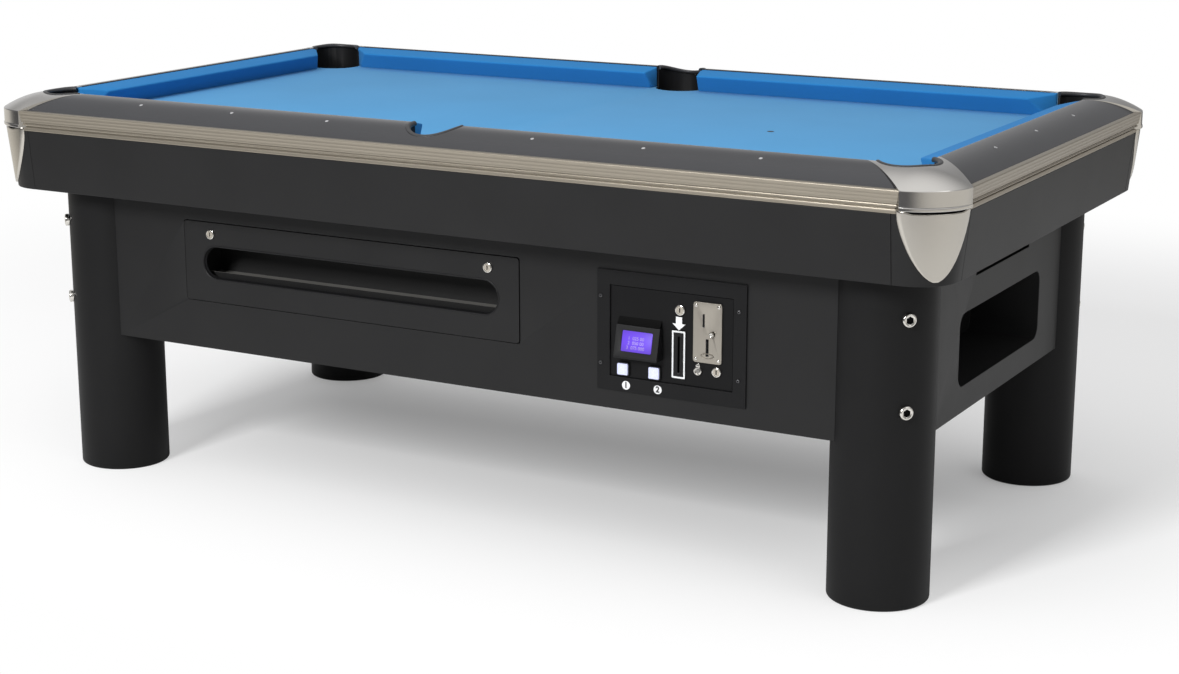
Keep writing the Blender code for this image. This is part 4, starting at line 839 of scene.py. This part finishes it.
class POOLTABLE_OT_rails(bpy.types.Operator):
    """Four rails with convex tops, and the sights let into them"""

    bl_idname = "pooltable.rails"
    bl_label = "Rails"

    crown_steps = 22
    inner_round = 0.0016
    sight_out = 0.0897
    pocket_run = 0.075
    smooth = 30

    def section(self):
        soft = self.inner_round
        top = [(RAIL_INNER + x, RAIL_TOP + z) for x, z in arc(soft, -soft, soft, 180, 100, 4)]
        top += [(out, crown(out)) for out in spaced(RAIL_INNER + soft, RAIL_OUTER, self.crown_steps)[1:]]
        return top + [(RAIL_OUTER, RAIL_LOW), (RAIL_HOOK, RAIL_LOW), (RAIL_HOOK, RAIL_SEAT),
                      (RAIL_INNER, RAIL_SEAT)]

    def sights(self, side, radius):
        out = self.sight_out
        slope = -2 * (out - RAIL_INNER) / (RAIL_OUTER - RAIL_INNER) ** 2 * (RAIL_TOP - TRIM_TOP)
        along, outward, _, half_run = SIDES[side]
        normal = (Vector((0, 0, 1)) - outward * slope).normalized()
        axes = Matrix((along, normal.cross(along), normal)).transposed().to_4x4()
        shape = Shape()
        for count in (-3, -2, -1, 1, 2, 3) if half_run > 3 * SQUARE else (-1, 0, 1):
            place = Matrix.Translation(at_side(side, count * SQUARE, out, crown(out))) @ axes
            shape.lathe([(radius, -0.0012), (radius, 0.0001), (radius - 0.0003, 0.0004),
                         (radius * 0.6, 0.0005), (radius * 0.1, 0.0005)], place, steps=28)
        piece("rail_sights_" + side, shape, "sight_pearl")

    def execute(self, context):
        for side, (_, _, _, half_run) in SIDES.items():
            pocket = side in ("front", "rear")
            runs = spaced(-0.75 * half_run, 0.75 * half_run, 12)
            if pocket:
                runs[6:7] = -self.pocket_run, self.pocket_run
            rail = piece(f"rail_{side}_crowned", side_loft(side, self.section(), runs), "rail_laminate",
                         stands_for="rail_" + side, smooth=self.smooth)
            if pocket:
                cut_pocket(rail, *at_side(side, 0, SIDE_POCKET_OUT, 0).xy, self.smooth)
            self.sights(side, context.scene.pool_table_sizes.sight_radius)
        return {'FINISHED'}


class POOLTABLE_OT_trim(bpy.types.Operator):
    """Fluted metal trim along the rails' outer edges"""

    bl_idname = "pooltable.trim"
    bl_label = "Trim"

    # Depths in metres; places down the face as shares of its height.
    top_round = (0.0030, 0.0026)
    lean = 0.0072
    band_start = 0.0028
    band_end = 0.57
    bead_run = (0.605, 0.735)
    foot_start = 0.81
    notch = 0.0030
    groove = 0.0054

    def section(self, flutes, depth):
        """The trim seen from its end: a fluted band, a bead and a flared foot with grooves between."""
        tall = TRIM_TOP - RAIL_LOW

        def face(share, sunk=0.0):
            return (TRIM_OUTER - self.lean * share - sunk, TRIM_TOP - share * tall)

        def rounded(start, end, radius, flare):
            """A face whose two edges are rounded; the flare sets its upper edge back."""
            turn = [(share, 1 - math.sqrt(1 - (1 - share) ** 2)) for share in (0.0, 0.13, 0.5, 1.0)]
            upper = [face(start + radius / tall * share, radius * dip + flare) for share, dip in turn]
            return upper + [face(end - radius / tall * share, radius * dip) for share, dip in turn[::-1]]

        back = RAIL_OUTER + FIT
        points = [(back, TRIM_TOP)]
        sunk, drop = self.top_round
        points += [face(drop / tall * (1 - c), sunk * (1 - s)) for c, s in arc(0, 0, 1, 0, 75, 3)]
        start = self.band_start / tall
        width = (self.band_end - 0.0012 / tall - start) / flutes
        for i in range(flutes):
            for share in (0.0, 0.12, 0.3, 0.5, 0.7, 0.88):
                points.append(face(start + (i + share) * width, depth * math.sin(math.pi * share) ** 0.7))
        edge = 0.0002 / tall
        points += [face(self.band_end - 5 * edge), face(self.band_end, 0.0006),
                   face(self.band_end + edge, self.notch), face(self.bead_run[0] - edge, self.notch)]
        points += rounded(*self.bead_run, 0.0026, 0.0014)
        points += [face(self.bead_run[1], self.groove), face(self.foot_start, self.groove)]
        points += rounded(self.foot_start, 1.0, 0.0016, 0.0020)
        return points + [(back, RAIL_LOW)]

    def execute(self, context):
        sizes = context.scene.pool_table_sizes
        section = self.section(sizes.flute_count, sizes.flute_depth)
        for side, (along, _, _, half_run) in SIDES.items():
            shape = side_loft(side, section, spaced(-half_run * 5 / 6, half_run * 5 / 6, 10))
            piece(f"trim_{side}_fluted", shape, "trim_lengthwise" if along.x else "trim_crosswise",
                  stands_for="trim_" + side, smooth=40)
        return {'FINISHED'}


class POOLTABLE_OT_castings(bpy.types.Operator):
    """Corner castings: a convex cap over the pocket, a band with a lip, and a shield below a slit"""

    bl_idname = "pooltable.castings"
    bl_label = "Corner Castings"

    slices = 48
    crown_steps = 20
    inner_round = 0.0012
    slit = 0.0042
    lip = 0.0070
    shield_rim = 0.0022
    rim_share = 0.35
    ear_start = 0.66
    ear_end = 0.90
    shield_taper = 1.35
    shield_fullness = 0.56
    cap_smooth = 19

    def cap(self, corner):
        """The cap and its band; the slit under the lip takes painted shade."""
        low = RAIL_LOW + self.lip
        soft = self.inner_round
        section = [(RAIL_INNER, RAIL_SEAT), (RAIL_INNER, RAIL_TOP - soft),
                   (RAIL_INNER + soft / 3, RAIL_TOP - soft / 4)]
        section += [(out, crown(out, CAP_EDGE, CAP_EDGE_TOP))
                    for out in spaced(RAIL_INNER + soft, CAP_EDGE, self.crown_steps)[1:]]
        turn = CAP_EDGE_TOP - CAP_CHAMFER
        section += [(BAND_FACE, z) for z in (turn, turn - 0.0004, low + 0.0083, low + 0.0078)]
        section += [(CASTING_OUTER - back, low + rise) for back, rise in mm(
            (0.9, 6.6), (0.2, 5.8), (0, 4.6), (0, 1.2), (0.5, 0.3), (1.4, 0))]
        behind = apron_face(APRON_TOP) + FIT / 2
        section += [(behind + 0.002, low), (behind, low - 0.0008), (behind, RAIL_LOW),
                    (RAIL_HOOK, RAIL_LOW), (RAIL_HOOK, RAIL_SEAT)]
        shape = Shape().loft([[at_corner(corner, out, across, z) for out, z in section]
                              for across in spaced(-CASTING_HALF, CASTING_HALF, self.slices)])
        # Faces at the back of the slit under the lip take painted shade.
        for face in shape.bm.faces:
            if RAIL_LOW + 0.0002 < face.calc_center_median().z < low - 0.0002:
                face.material_index = 1
        return shape

    def shield_row(self, corner, height, share, rim, ears):
        """One level of the shield, outer face then inner face, thinner towards its rim."""
        outside, inside = [], []
        for side in spaced(-1, 1, self.slices):
            across = CASTING_HALF * share * side
            near = min(1.0, min(rim, CASTING_HALF * share * (1 - abs(side))) / self.shield_rim)
            swell = self.rim_share + (1 - self.rim_share) * math.sqrt(max(0.0, 1 - (1 - near) ** 2))
            climb = min(1.0, max(0.0, (abs(side) - self.ear_start) / (self.ear_end - self.ear_start)))
            level = height + ears * self.slit * climb ** 2 * (3 - 2 * climb)
            for row, thick in ((outside, SHIELD_THICKNESS * swell), (inside, 0.0)):
                row.append(at_corner(corner, apron_face(level) + FIT + thick, across, level))
        return outside + inside[::-1]

    def shield(self, corner):
        top = RAIL_LOW + self.lip - self.slit - 0.0002
        rows = [self.shield_row(corner, top - depth, 1.0, depth, ears)
                for depth, ears in ((0.0, 1.0), (0.0005, 1.0), (0.0012, 0.95), (0.0022, 0.85))]
        for angle in spaced(0, 88.5, 28):
            depth = math.sin(math.radians(angle))
            height = RAIL_LOW - (RAIL_LOW - SHIELD_LOW) * depth
            width = (1 - depth ** self.shield_taper) ** self.shield_fullness
            rows.append(self.shield_row(corner, height, width, height - SHIELD_LOW, max(0.0, 0.6 - 6 * depth)))
        return Shape().loft(rows)

    def execute(self, context):
        for corner, (sx, sy) in CORNERS.items():
            node = "corner_casting_" + corner
            cap = piece(node + "_cap", self.cap(corner), "satin_nickel dark_hollow",
                        stands_for=node, smooth=self.cap_smooth)
            cut_pocket(cap, sx * (HALF_LENGTH + CORNER_POCKET_OUT), sy * (HALF_WIDTH + CORNER_POCKET_OUT),
                       self.cap_smooth)
            piece(node + "_shield", self.shield(corner), "shield_nickel", smooth=50)
        return {'FINISHED'}


class POOLTABLE_OT_liners(bpy.types.Operator):
    """Rubber liners in the six pockets, with rolled rims"""

    bl_idname = "pooltable.liners"
    bl_label = "Pocket Liners"

    rim_steps = 64
    rim_width = 0.0095
    # The roll's section: share of the width inwards, rise in metres.
    roll = ((0.0, -0.0030), (0.0, 0.0003), (0.06, 0.0010), (0.25, 0.0016), (0.5, 0.0015), (0.75, 0.0006),
            (0.92, -0.0010), (1.0, -0.0034), (0.97, -0.0056), (0.8, -0.0076), (0.4, -0.0080))

    def rim(self, name, place, start, end, top):
        """A roll round the part of a pocket that lies in the rails, following their crown."""
        rings = []
        for c, s in arc(0, 0, 1, start, end, self.rim_steps):
            points = []
            for share, rise in self.roll:
                radius = POCKET_RADIUS - share * self.rim_width
                x, y = place(radius * c, radius * s)
                points.append(Vector((x, y, top(x, y) + rise)))
            rings.append(points)
        piece(name + "_rim", Shape().loft(rings), "rim_rubber", smooth=70)

    def side_top(self, x, y):
        return crown(max(RAIL_INNER, abs(y) - HALF_WIDTH))

    def corner_top(self, x, y):
        out = RAIL_INNER + math.hypot(max(0.0, abs(x) - HALF_LENGTH - RAIL_INNER),
                                      max(0.0, abs(y) - HALF_WIDTH - RAIL_INNER))
        return crown(out, CAP_EDGE, CAP_EDGE_TOP)

    def execute(self, context):
        ease_all("pocket_liner_", "liner_rubber", 0.0008)
        dip = math.degrees(math.asin((SIDE_POCKET_OUT - RAIL_INNER) / POCKET_CUT))
        for side, sign in (("front", -1), ("rear", 1)):
            self.rim("pocket_liner_side_" + side, lambda x, y: (x, sign * (HALF_WIDTH + SIDE_POCKET_OUT + y)),
                     -dip, 180 + dip, self.side_top)
        reach = math.degrees(math.acos((RAIL_INNER - CORNER_POCKET_OUT) / POCKET_CUT))
        for corner, (sx, sy) in CORNERS.items():
            self.rim("pocket_liner_corner_" + corner, lambda x, y: (
                sx * (HALF_LENGTH + CORNER_POCKET_OUT + x), sy * (HALF_WIDTH + CORNER_POCKET_OUT + y)),
                -reach, 90 + reach, self.corner_top)
        return {'FINISHED'}


class POOLTABLE_OT_aprons(bpy.types.Operator):
    """Tapered apron boards and their rounded corners"""

    bl_idname = "pooltable.aprons"
    bl_label = "Aprons"

    def execute(self, context):
        ease_all("apron_", "black_laminate", context.scene.pool_table_sizes.panel_edge)
        return {'FINISHED'}


class POOLTABLE_OT_cabinet(bpy.types.Operator):
    """The cabinet's four panels and the board across its underside"""

    bl_idname = "pooltable.cabinet"
    bl_label = "Cabinet"

    def execute(self, context):
        ease_all("cabinet_", "black_laminate", context.scene.pool_table_sizes.panel_edge)
        self.floor_board()
        return {'FINISHED'}

    def floor_board(self):
        """A board across the underside, notched round the legs."""
        room = 5 * FIT
        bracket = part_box("leg_bracket_rear_right")[0]
        x, y = bracket.x - room, bracket.y - room
        front, left, right = [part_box("cabinet_" + name) for name in ("front", "end_left", "end_right")]
        deep = -front[1].y - FIT
        outline = []
        for sign, end in ((1, right[0].x - room), (-1, -left[1].x - room)):
            outline += [(sign * across, sign * back) for across, back in (
                (x, -deep), (x, -y), (end, -y), (end, y), (x, y), (x, deep))]
        piece("cabinet_floor_board", Shape().prism(outline, CABINET_LOW + 0.002, BRACKET_LOW - 0.003),
              "black_laminate")


class POOLTABLE_OT_legs(bpy.types.Operator):
    """Round legs, the boards they are bolted to and the bolts"""

    bl_idname = "pooltable.legs"
    bl_label = "Legs"

    steps = 120
    low_levels = (0.1, 0.2)
    high_levels = (0.45, 0.6)
    foot_round = 0.006
    shank_radius = 0.007
    head_radius = 0.0135
    head_height = 0.009
    socket_radius = 0.0078
    socket_depth = 0.006

    def leg(self, corner, place):
        def level(radius, height, flat=False):
            outline = circle(radius, self.steps)
            if flat:
                outline = [(max(x, -LEG_FLAT), y) for x, y in outline]
            return ring(outline, height, place)

        rings = []
        for angle in (0, 22, 45, 68, 90):
            c, s = math.cos(math.radians(angle)), math.sin(math.radians(angle))
            rings.append(level(LEG_RADIUS - self.foot_round * (1 - s), self.foot_round * (1 - c)))
        flat_from = BRACKET_LOW - FIT
        rings += [level(LEG_RADIUS, height) for height in (*self.low_levels, flat_from)]
        rings += [level(LEG_RADIUS, height, True) for height in (flat_from, *self.high_levels, LEG_TOP)]
        piece(f"leg_{corner}_turned", Shape().loft(rings), "leg_laminate",
              stands_for="leg_" + corner, smooth=40)

    def bracket(self, corner, place):
        face = -(LEG_FLAT + FIT)
        back = face - BRACKET_THICKNESS
        half = (LEG_RADIUS - LEG_PROUD - PANEL_THICKNESS - FIT) * ROOT2 - face
        wide = half + BRACKET_THICKNESS
        shape = Shape().prism([(face, -half), (face, half), (back, wide), (back, -wide)],
                              BRACKET_LOW, BRACKET_TOP, place, 2)
        seat = LEG_RADIUS + FIT
        top = seat + self.head_height
        bolt_place = place @ Matrix.Rotation(math.radians(90), 4, 'Y')
        for height in BOLT_HEIGHTS:
            at = bolt_place @ Matrix.Translation((-height, 0, 0))
            shape.lathe([(self.shank_radius, face + 0.0005), (self.shank_radius, seat)], at, 0, 24)
            rings = [ring(circle(self.head_radius), seat + FIT, at)]
            rings += [ring(circle(self.head_radius - cut), top - drop, at) for cut, drop in mm(
                (0, 3), (0.6, 1.2), (1.8, 0.3), (3, 0), (4.2, 0.3))]
            rings += [ring(hexagon(self.socket_radius), top - 0.0012, at),
                      ring(hexagon(self.socket_radius - 0.0002), top - self.socket_depth, at)]
            # Each hexagon socket's walls and floor take painted shade.
            shape.loft(rings, [0] * 6 + [1])
        piece(f"leg_bracket_{corner}_bolted", shape, "chrome dark_hollow black_laminate",
              stands_for="leg_bracket_" + corner, smooth=40)

    def execute(self, context):
        for corner, (sx, sy) in CORNERS.items():
            turn = Matrix.Rotation(math.atan2(sy, sx), 4, 'Z')
            place = Matrix.Translation((sx * LEG_X, sy * LEG_Y, 0)) @ turn
            self.leg(corner, place)
            self.bracket(corner, place)
        return {'FINISHED'}


def key_lock(name, x, z, face, cam_end, cam, body, radius=0.0105):
    """A cam lock: a bright face with a keyway, its barrel and, where it has a reach, its cam."""
    at = on_front(x, z, face)
    depth = cam_end - face
    shape = Shape().lathe([(LOCK_BARREL, CAM_THICKNESS - depth), (LOCK_BARREL, FIT)], at, 0, 32)
    rings = [ring(circle(radius - cut), height, at) for cut, height in mm(
        (0, 0.3), (0, 2.8), (0.4, 3.8), (1.2, 4.3), (2.2, 4.3), (2.7, 3.7), (3.4, 3.7), (5, 4))]
    slit = keyway(0.0024, 0.0090)
    rings += [ring(slit, 0.0040, at), ring(inset(slit, 0.0001), 0.0010, at)]
    # The keyway's walls and floor take painted shade.
    shape.loft(rings, [0] * 5 + [2] * 3 + [1])
    if cam:
        arm = arc(0, 0, CAM_ROOT, 60, 300, 12) + arc(abs(cam) - CAM_TIP, 0, CAM_TIP, -90, 90, 8)
        shape.prism([(math.copysign(1, cam) * px, py) for px, py in arm], -depth, CAM_THICKNESS - depth, at)
    piece(name + "_keyed", shape, "chrome dark_hollow lock_face", body, name if cam else None, 36)


class POOLTABLE_OT_window(bpy.types.Operator):
    """The ball window's door, the moulding in its slot and its two locks"""

    bl_idname = "pooltable.window"
    bl_label = "Ball Window"

    slot_width = 0.746
    slot_height = 0.072
    slot_rise = 0.0866
    lock_inset = 0.0713
    lock_drop = 0.0253
    cam_reach = 0.032

    def execute(self, context):
        low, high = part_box("window_door")
        middle = (low.x + high.x) / 2
        eased("window_door", "black_laminate", context.scene.pool_table_sizes.panel_edge,
              "window_door")
        profile = mm((0.2, -11.6), (2.2, -11.6), (3, -10.8), (3, -7), (2.4, -6.2), (1.8, -5.6), (1.8, -1.6),
                     (1.2, -0.4), (0.2, 0.6), (-1, 1), (-2.2, 0.8), (-2.6, 0.1), (0.2, 0.1))
        moulding = Shape().band(self.slot_width, self.slot_height, self.slot_height / 2 - 1e-5, profile,
                                on_front(middle, low.z + self.slot_rise, low.y), 20)
        piece("window_slot_moulding", moulding, "bezel_plastic", "window_door", smooth=60)
        for hand, sign in (("left", -1), ("right", 1)):
            name = "window_lock_" + hand
            key_lock(name, middle + sign * ((high.x - low.x) / 2 - self.lock_inset), high.z - self.lock_drop,
                     low.y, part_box(name)[1].y, -sign * self.cam_reach, name)
        return {'FINISHED'}


class POOLTABLE_OT_ball_return(bpy.types.Operator):
    """The sloping floor, the tray behind the window and the gate between them"""

    bl_idname = "pooltable.ball_return"
    bl_label = "Ball Return"

    tray_top = 0.500

    def execute(self, context):
        # Faces that don't face up, and faces above the tray, take near black painted shade; the upward faces below
        # keep the tray's grey.
        eased("ball_runway", "tray_sheet runway_black", 0.0008,
              second=lambda face: face.normal.z <= 0.5 or face.center.z >= self.tray_top)
        eased("release_gate", "stainless", 0.0005, "release_gate")
        return {'FINISHED'}


class POOLTABLE_OT_coin_frame(bpy.types.Operator):
    """The coin unit's frame with its screws and numerals"""

    bl_idname = "pooltable.coin_frame"
    bl_label = "Coin Frame"

    screw_xs = (0.3645, 0.6620)
    screw_zs = (0.5405, 0.4060)
    screw_height = 0.0022
    face_depth = 0.02
    numeral_radius = 0.0088
    numeral_size = 0.0165
    numerals = (("1", 0.4210), ("2", 0.4905))
    numeral_z = 0.3665

    def screw(self, shape, at, radius):
        """A button head with a hexagon socket."""
        rings = [ring(circle(radius * share, 24), rise * self.screw_height, at) for share, rise in (
            (1.0, 0.0), (1.0, 0.3), (0.92, 0.65), (0.75, 0.9), (0.6, 1.0))]
        rings += [ring(hexagon(radius * 0.45, 24), rise * self.screw_height, at) for rise in (1.0, 0.3)]
        # The socket's walls and floor take painted shade.
        shape.loft(rings, [0] * 5 + [1])

    def execute(self, context):
        sizes = context.scene.pool_table_sizes
        eased("coin_frame", "powder_coat box_steel", sizes.metal_edge, second=lambda face:
              abs(face.normal.y) < 0.5 or face.center.y > FRAME_FACE + self.face_depth)
        shape = Shape()
        for x in self.screw_xs:
            for z in self.screw_zs:
                self.screw(shape, on_front(x, z, FRAME_FACE), sizes.screw_radius)
        piece("coin_frame_screws", shape, "black_screw dark_hollow")
        for text, x in self.numerals:
            at = on_front(x, self.numeral_z, FRAME_FACE)
            shape = Shape().prism(circle(self.numeral_radius), 0.00002, 0.0003, at, 0, 0.0001, 2)
            shape.figures(text, self.numeral_size, 0.0002, at @ Matrix.Translation((0, 0, 0.00042)), 1, 0.0006)
            piece("numeral_" + text, shape, "white_print black_print")
        return {'FINISHED'}


class POOLTABLE_OT_coin_door(bpy.types.Operator):
    """The coin door, its lock, the printed arrow, the key switch and the small lock"""

    bl_idname = "pooltable.coin_door"
    bl_label = "Coin Door"

    lock_x = 0.5372
    cam_reach = 0.036
    small_lock = (0.6160, 0.4170)
    switch = (0.5765, 0.4150)
    arrow = (0.5340, 0.5030)

    def execute(self, context):
        # The door's side faces take painted shade, darkening the gap round the door.
        eased("coin_door", "door_coat dark_hollow", context.scene.pool_table_sizes.metal_edge,
              "coin_door", second=lambda face: abs(face.normal.y) < 0.5)
        low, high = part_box("coin_door_lock")
        key_lock("coin_door_lock", self.lock_x, (low.z + high.z) / 2, DOOR_FACE, high.y, -self.cam_reach,
                 "coin_door_lock")
        key_lock("small_lock", *self.small_lock, DOOR_FACE, DOOR_FACE + 0.003, 0, "coin_door", 0.0098)
        self.key_switch(on_front(*self.switch, DOOR_FACE))
        arrow = mm((-6.6, 13), (-6.6, -0.5), (-14.2, -0.5), (0, -13.5), (14.2, -0.5), (6.6, -0.5), (6.6, 13))
        piece("note_arrow", Shape().prism(arrow, 0.00002, 0.0003, on_front(*self.arrow, DOOR_FACE)),
              "white_print", "coin_door")
        return {'FINISHED'}

    def key_switch(self, at):
        """A bright ring with a tab over it and a dark tubular keyway."""
        shape = Shape().lathe(mm((8.6, 0.05), (8.6, 3), (8, 4.2), (6.6, 4.6), (6, 4), (5.8, 2.2)), at)
        shape.lathe(mm((4.2, 2), (4.2, 3.4), (3.8, 3.8)), at, 1, 32)
        shape.prism(round_box(0.0088, 0.0100, 0.0028), 0.00005, 0.0034,
                    at @ Matrix.Translation((0, 0.0092, 0)), 0, 0.001)
        piece("key_switch", shape, "chrome tray_sheet", "coin_door")


class POOLTABLE_OT_display(bpy.types.Operator):
    """The tilted display with its lit screen and plain figures"""

    bl_idname = "pooltable.display"
    bl_label = "Display"

    toe = 0.004
    head_depth = 0.010
    hood = 0.014
    screen = (0.0655, 0.0405)
    text_size = 0.0092
    text = "1  025 00\n2  050 00\n3  075 000"

    def execute(self, context):
        low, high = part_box("display_unit")
        eased("display_unit", "bezel_plastic", 0.0016, "coin_door", 3)
        brow = Vector((0, high.y - self.head_depth, high.z))
        toe = Vector((0, low.y, low.z + self.toe))
        lean = math.atan2(brow.y - toe.y, brow.z - toe.z)
        middle = (brow + toe) / 2 + Vector(((low.x + high.x) / 2, 0, 0))
        at = Matrix.Translation(middle) @ Matrix.Rotation(math.radians(90) - lean, 4, 'X')
        back = DOOR_FACE - 0.00005
        # A black wedge above the display, from its brow back to the door: painted shade of the recess the display
        # sits in.
        hood = [(brow.y, high.z + FIT), (brow.y + 0.0015, high.z + 0.0015), (back, high.z + self.hood),
                (back, high.z + FIT)]
        rings = [[Vector((x, y, z)) for y, z in hood] for x in (low.x + 0.001, high.x - 0.001)]
        glass = Shape().prism(round_box(*self.screen, 0.0018, 3), -0.0019, -0.0006, at, 0, 0.0003, 2)
        for name, shape, look in (("display_hood", Shape().loft(rings), "dark_hollow"),
                                  ("screen_glass", glass, "screen_light"),
                                  ("screen_figures", self.figures(at), "screen_figure")):
            piece(name, shape, look, "coin_door")
        return {'FINISHED'}

    def figures(self, at):
        return Shape().figures(self.text, self.text_size, 0.0001,
                               at @ Matrix.Translation((-0.002, -0.003, -0.0005)))


class POOLTABLE_OT_buttons(bpy.types.Operator):
    """Two lit square buttons in black surrounds"""

    bl_idname = "pooltable.buttons"
    bl_label = "Buttons"

    room = 0.0012
    corner = 0.003
    surround = mm((0, 0.05), (0, 4.2), (-0.4, 4.7), (-1.2, 4.7), (-2.2, 3), (-2.2, 0.05))

    def execute(self, context):
        for node in ("select_button", "play_button"):
            eased(node, "lit_cap", 0.0012, node, 3)
            low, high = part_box(node)
            side = high.x - low.x + self.room
            shape = Shape().band(side, side, self.corner, self.surround, mid_front(node, DOOR_FACE))
            piece(node + "_surround", shape, "bezel_plastic", "coin_door")
        return {'FINISHED'}


class POOLTABLE_OT_bill_slot(bpy.types.Operator):
    """The note slot and its white border"""

    bl_idname = "pooltable.bill_slot"
    bl_label = "Note Slot"

    border = mm((0.1, 0.03), (0.1, 0.6), (0.4, 0.9), (3, 0.9), (3.4, 0.5), (3.4, 0.03))
    guide_size = (0.0118, 0.0800)
    guide = mm((0, 0.03), (0.3, 0.6), (1, 0.8), (2.8, 0.2), (3, 0.03))

    def execute(self, context):
        eased("bill_acceptor", "bezel_plastic", 0.0004, "coin_door")
        low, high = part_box("bill_acceptor")
        at = mid_front("bill_acceptor", low.y)
        border = Shape().band(high.x - low.x, high.z - low.z, 0.0008, self.border, at)
        piece("note_border", border, "white_print", "coin_door")
        guide = Shape().band(*self.guide_size, 0.002, self.guide, at)
        piece("note_guide", guide, "bezel_plastic", "coin_door")
        return {'FINISHED'}


class POOLTABLE_OT_coin_plate(bpy.types.Operator):
    """The bright coin plate with its screws, return cup and reject knob"""

    bl_idname = "pooltable.coin_plate"
    bl_label = "Coin Plate"

    plate_depth = 0.006
    screw_inset = (0.0062, 0.0068)
    cup_drop = 0.0450
    cup_half = (0.0142, 0.0056)

    def execute(self, context):
        low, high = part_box("coin_plate")
        eased("coin_plate", "stainless zinc_case", 0.0006, "coin_door",
              second=lambda face: face.center.y > low.y + self.plate_depth)
        self.case_cover(high.y)
        shape = Shape()
        inset_x, inset_z = self.screw_inset
        for x in (low.x + inset_x, high.x - inset_x):
            for z in (low.z + inset_z, high.z - inset_z):
                shape.lathe(mm((3.6, 0.03), (3.6, 0.6), (3.1, 1.3), (2.1, 1.8), (0.8, 2)),
                            on_front(x, z, low.y), 0, 28)
        piece("coin_plate_screws", shape, "chrome", "coin_door")
        self.cup(mid_front("coin_plate", low.y) @ Matrix.Translation((-0.0002, -self.cup_drop, 0)))
        self.knob(low.y)
        return {'FINISHED'}

    def case_cover(self, back):
        """A screwed cover with a solenoid on the back of the coin mechanism."""
        rear = [corner.co for corner in NODES["coin_plate"].data.vertices if corner.co.y > back - 0.0001]
        (left, right), (foot, top) = [(min(way), max(way)) for way in zip(*[(p.x, p.z) for p in rear])]
        at = (Matrix.Translation(((left + right) / 2, back, (foot + top) / 2)) @ Matrix.Rotation(math.pi, 4, 'Z')
              @ Matrix.Rotation(math.radians(90), 4, 'X'))
        wide, tall = right - left - 0.008, top - foot - 0.010
        shape = Shape().prism(round_box(wide, tall, 0.003), 0.00003, 0.0014, at, 0, 0.0005)
        shape.lathe(mm((11, 1.5), (11, 15), (9.8, 16.2), (4, 16.2)), at @ Matrix.Translation((0, tall / 5, 0)), 1)
        for sx, sy in CORNERS.values():
            shape.lathe(mm((2.6, 1.5), (2.6, 2.2), (1.8, 3), (0.6, 3.2)),
                        at @ Matrix.Translation((sx * (wide / 2 - 0.005), sy * (tall / 2 - 0.005), 0)), 2, 24)
        piece("coin_mechanism_cover", shape, "zinc_case bezel_plastic chrome", "coin_door")

    def cup(self, at):
        """A shallow dished ring round the foot of the return slot."""
        half_x, half_z = self.cup_half
        rings = [ring([((half_x - cut) * x, (half_z - cut) * y) for x, y in circle(1.0, 56)], rise, at)
                 for cut, rise in mm((0, 0.03), (0.2, 1.2), (0.8, 1.8), (1.5, 1.4), (2.2, 0.4), (2.2, 0.03))]
        piece("coin_return_cup", Shape().loft(rings, loop=True), "stainless", "coin_door", smooth=60)

    def knob(self, face):
        low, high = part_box("reject_button")
        radius = (high.x - low.x) / 2
        profile = [(radius - 0.0006, face - high.y)]
        profile += [(radius - cut, share * (face - low.y)) for cut, share in (
            (0.0006, 0.3), (0.0, 0.42), (0.0, 0.78), (0.0005, 0.92), (0.0014, 1.0), (0.0024, 0.93),
            (0.8 * radius, 0.86))]
        shape = Shape().lathe(profile, mid_front("reject_button", face))
        piece("reject_knob", shape, "chrome", "reject_button", "reject_button")


OPERATORS = (
    POOLTABLE_OT_stage, POOLTABLE_OT_bed, POOLTABLE_OT_cushions, POOLTABLE_OT_rails, POOLTABLE_OT_trim,
    POOLTABLE_OT_castings, POOLTABLE_OT_liners, POOLTABLE_OT_aprons, POOLTABLE_OT_cabinet, POOLTABLE_OT_legs,
    POOLTABLE_OT_window, POOLTABLE_OT_ball_return, POOLTABLE_OT_coin_frame, POOLTABLE_OT_coin_door,
    POOLTABLE_OT_display, POOLTABLE_OT_buttons, POOLTABLE_OT_bill_slot, POOLTABLE_OT_coin_plate,
)


class POOLTABLE_PT_panel(bpy.types.Panel):
    """Lists the table's pieces and settings"""

    bl_idname = "POOLTABLE_PT_panel"
    bl_label = "Pool Table"
    bl_space_type = 'VIEW_3D'
    bl_region_type = 'UI'
    bl_category = "Pool Table"

    def draw(self, context):
        for operator in OPERATORS:
            self.layout.operator(operator.bl_idname)
        for name in GROUPS:
            group = getattr(context.scene, name)
            box = self.layout.box()
            for setting in group.__annotations__:
                box.prop(group, setting)


GROUPS = {
    "pool_table_sizes": PoolTableSizes,
    "pool_table_colours": PoolTableColours,
    "pool_table_stage": PoolTableStage,
}


def register():
    for name, group in GROUPS.items():
        bpy.utils.register_class(group)
        setattr(bpy.types.Scene, name, bpy.props.PointerProperty(type=group))
    for made in OPERATORS + (POOLTABLE_PT_panel,):
        bpy.utils.register_class(made)


def unregister():
    for made in reversed(OPERATORS + (POOLTABLE_PT_panel,)):
        bpy.utils.unregister_class(made)
    for name, group in GROUPS.items():
        delattr(bpy.types.Scene, name)
        bpy.utils.unregister_class(group)


def main():
    register()
    for operator in OPERATORS:
        group, name = operator.bl_idname.split(".")
        getattr(getattr(bpy.ops, group), name)()


if __name__ == "__main__":
    main()
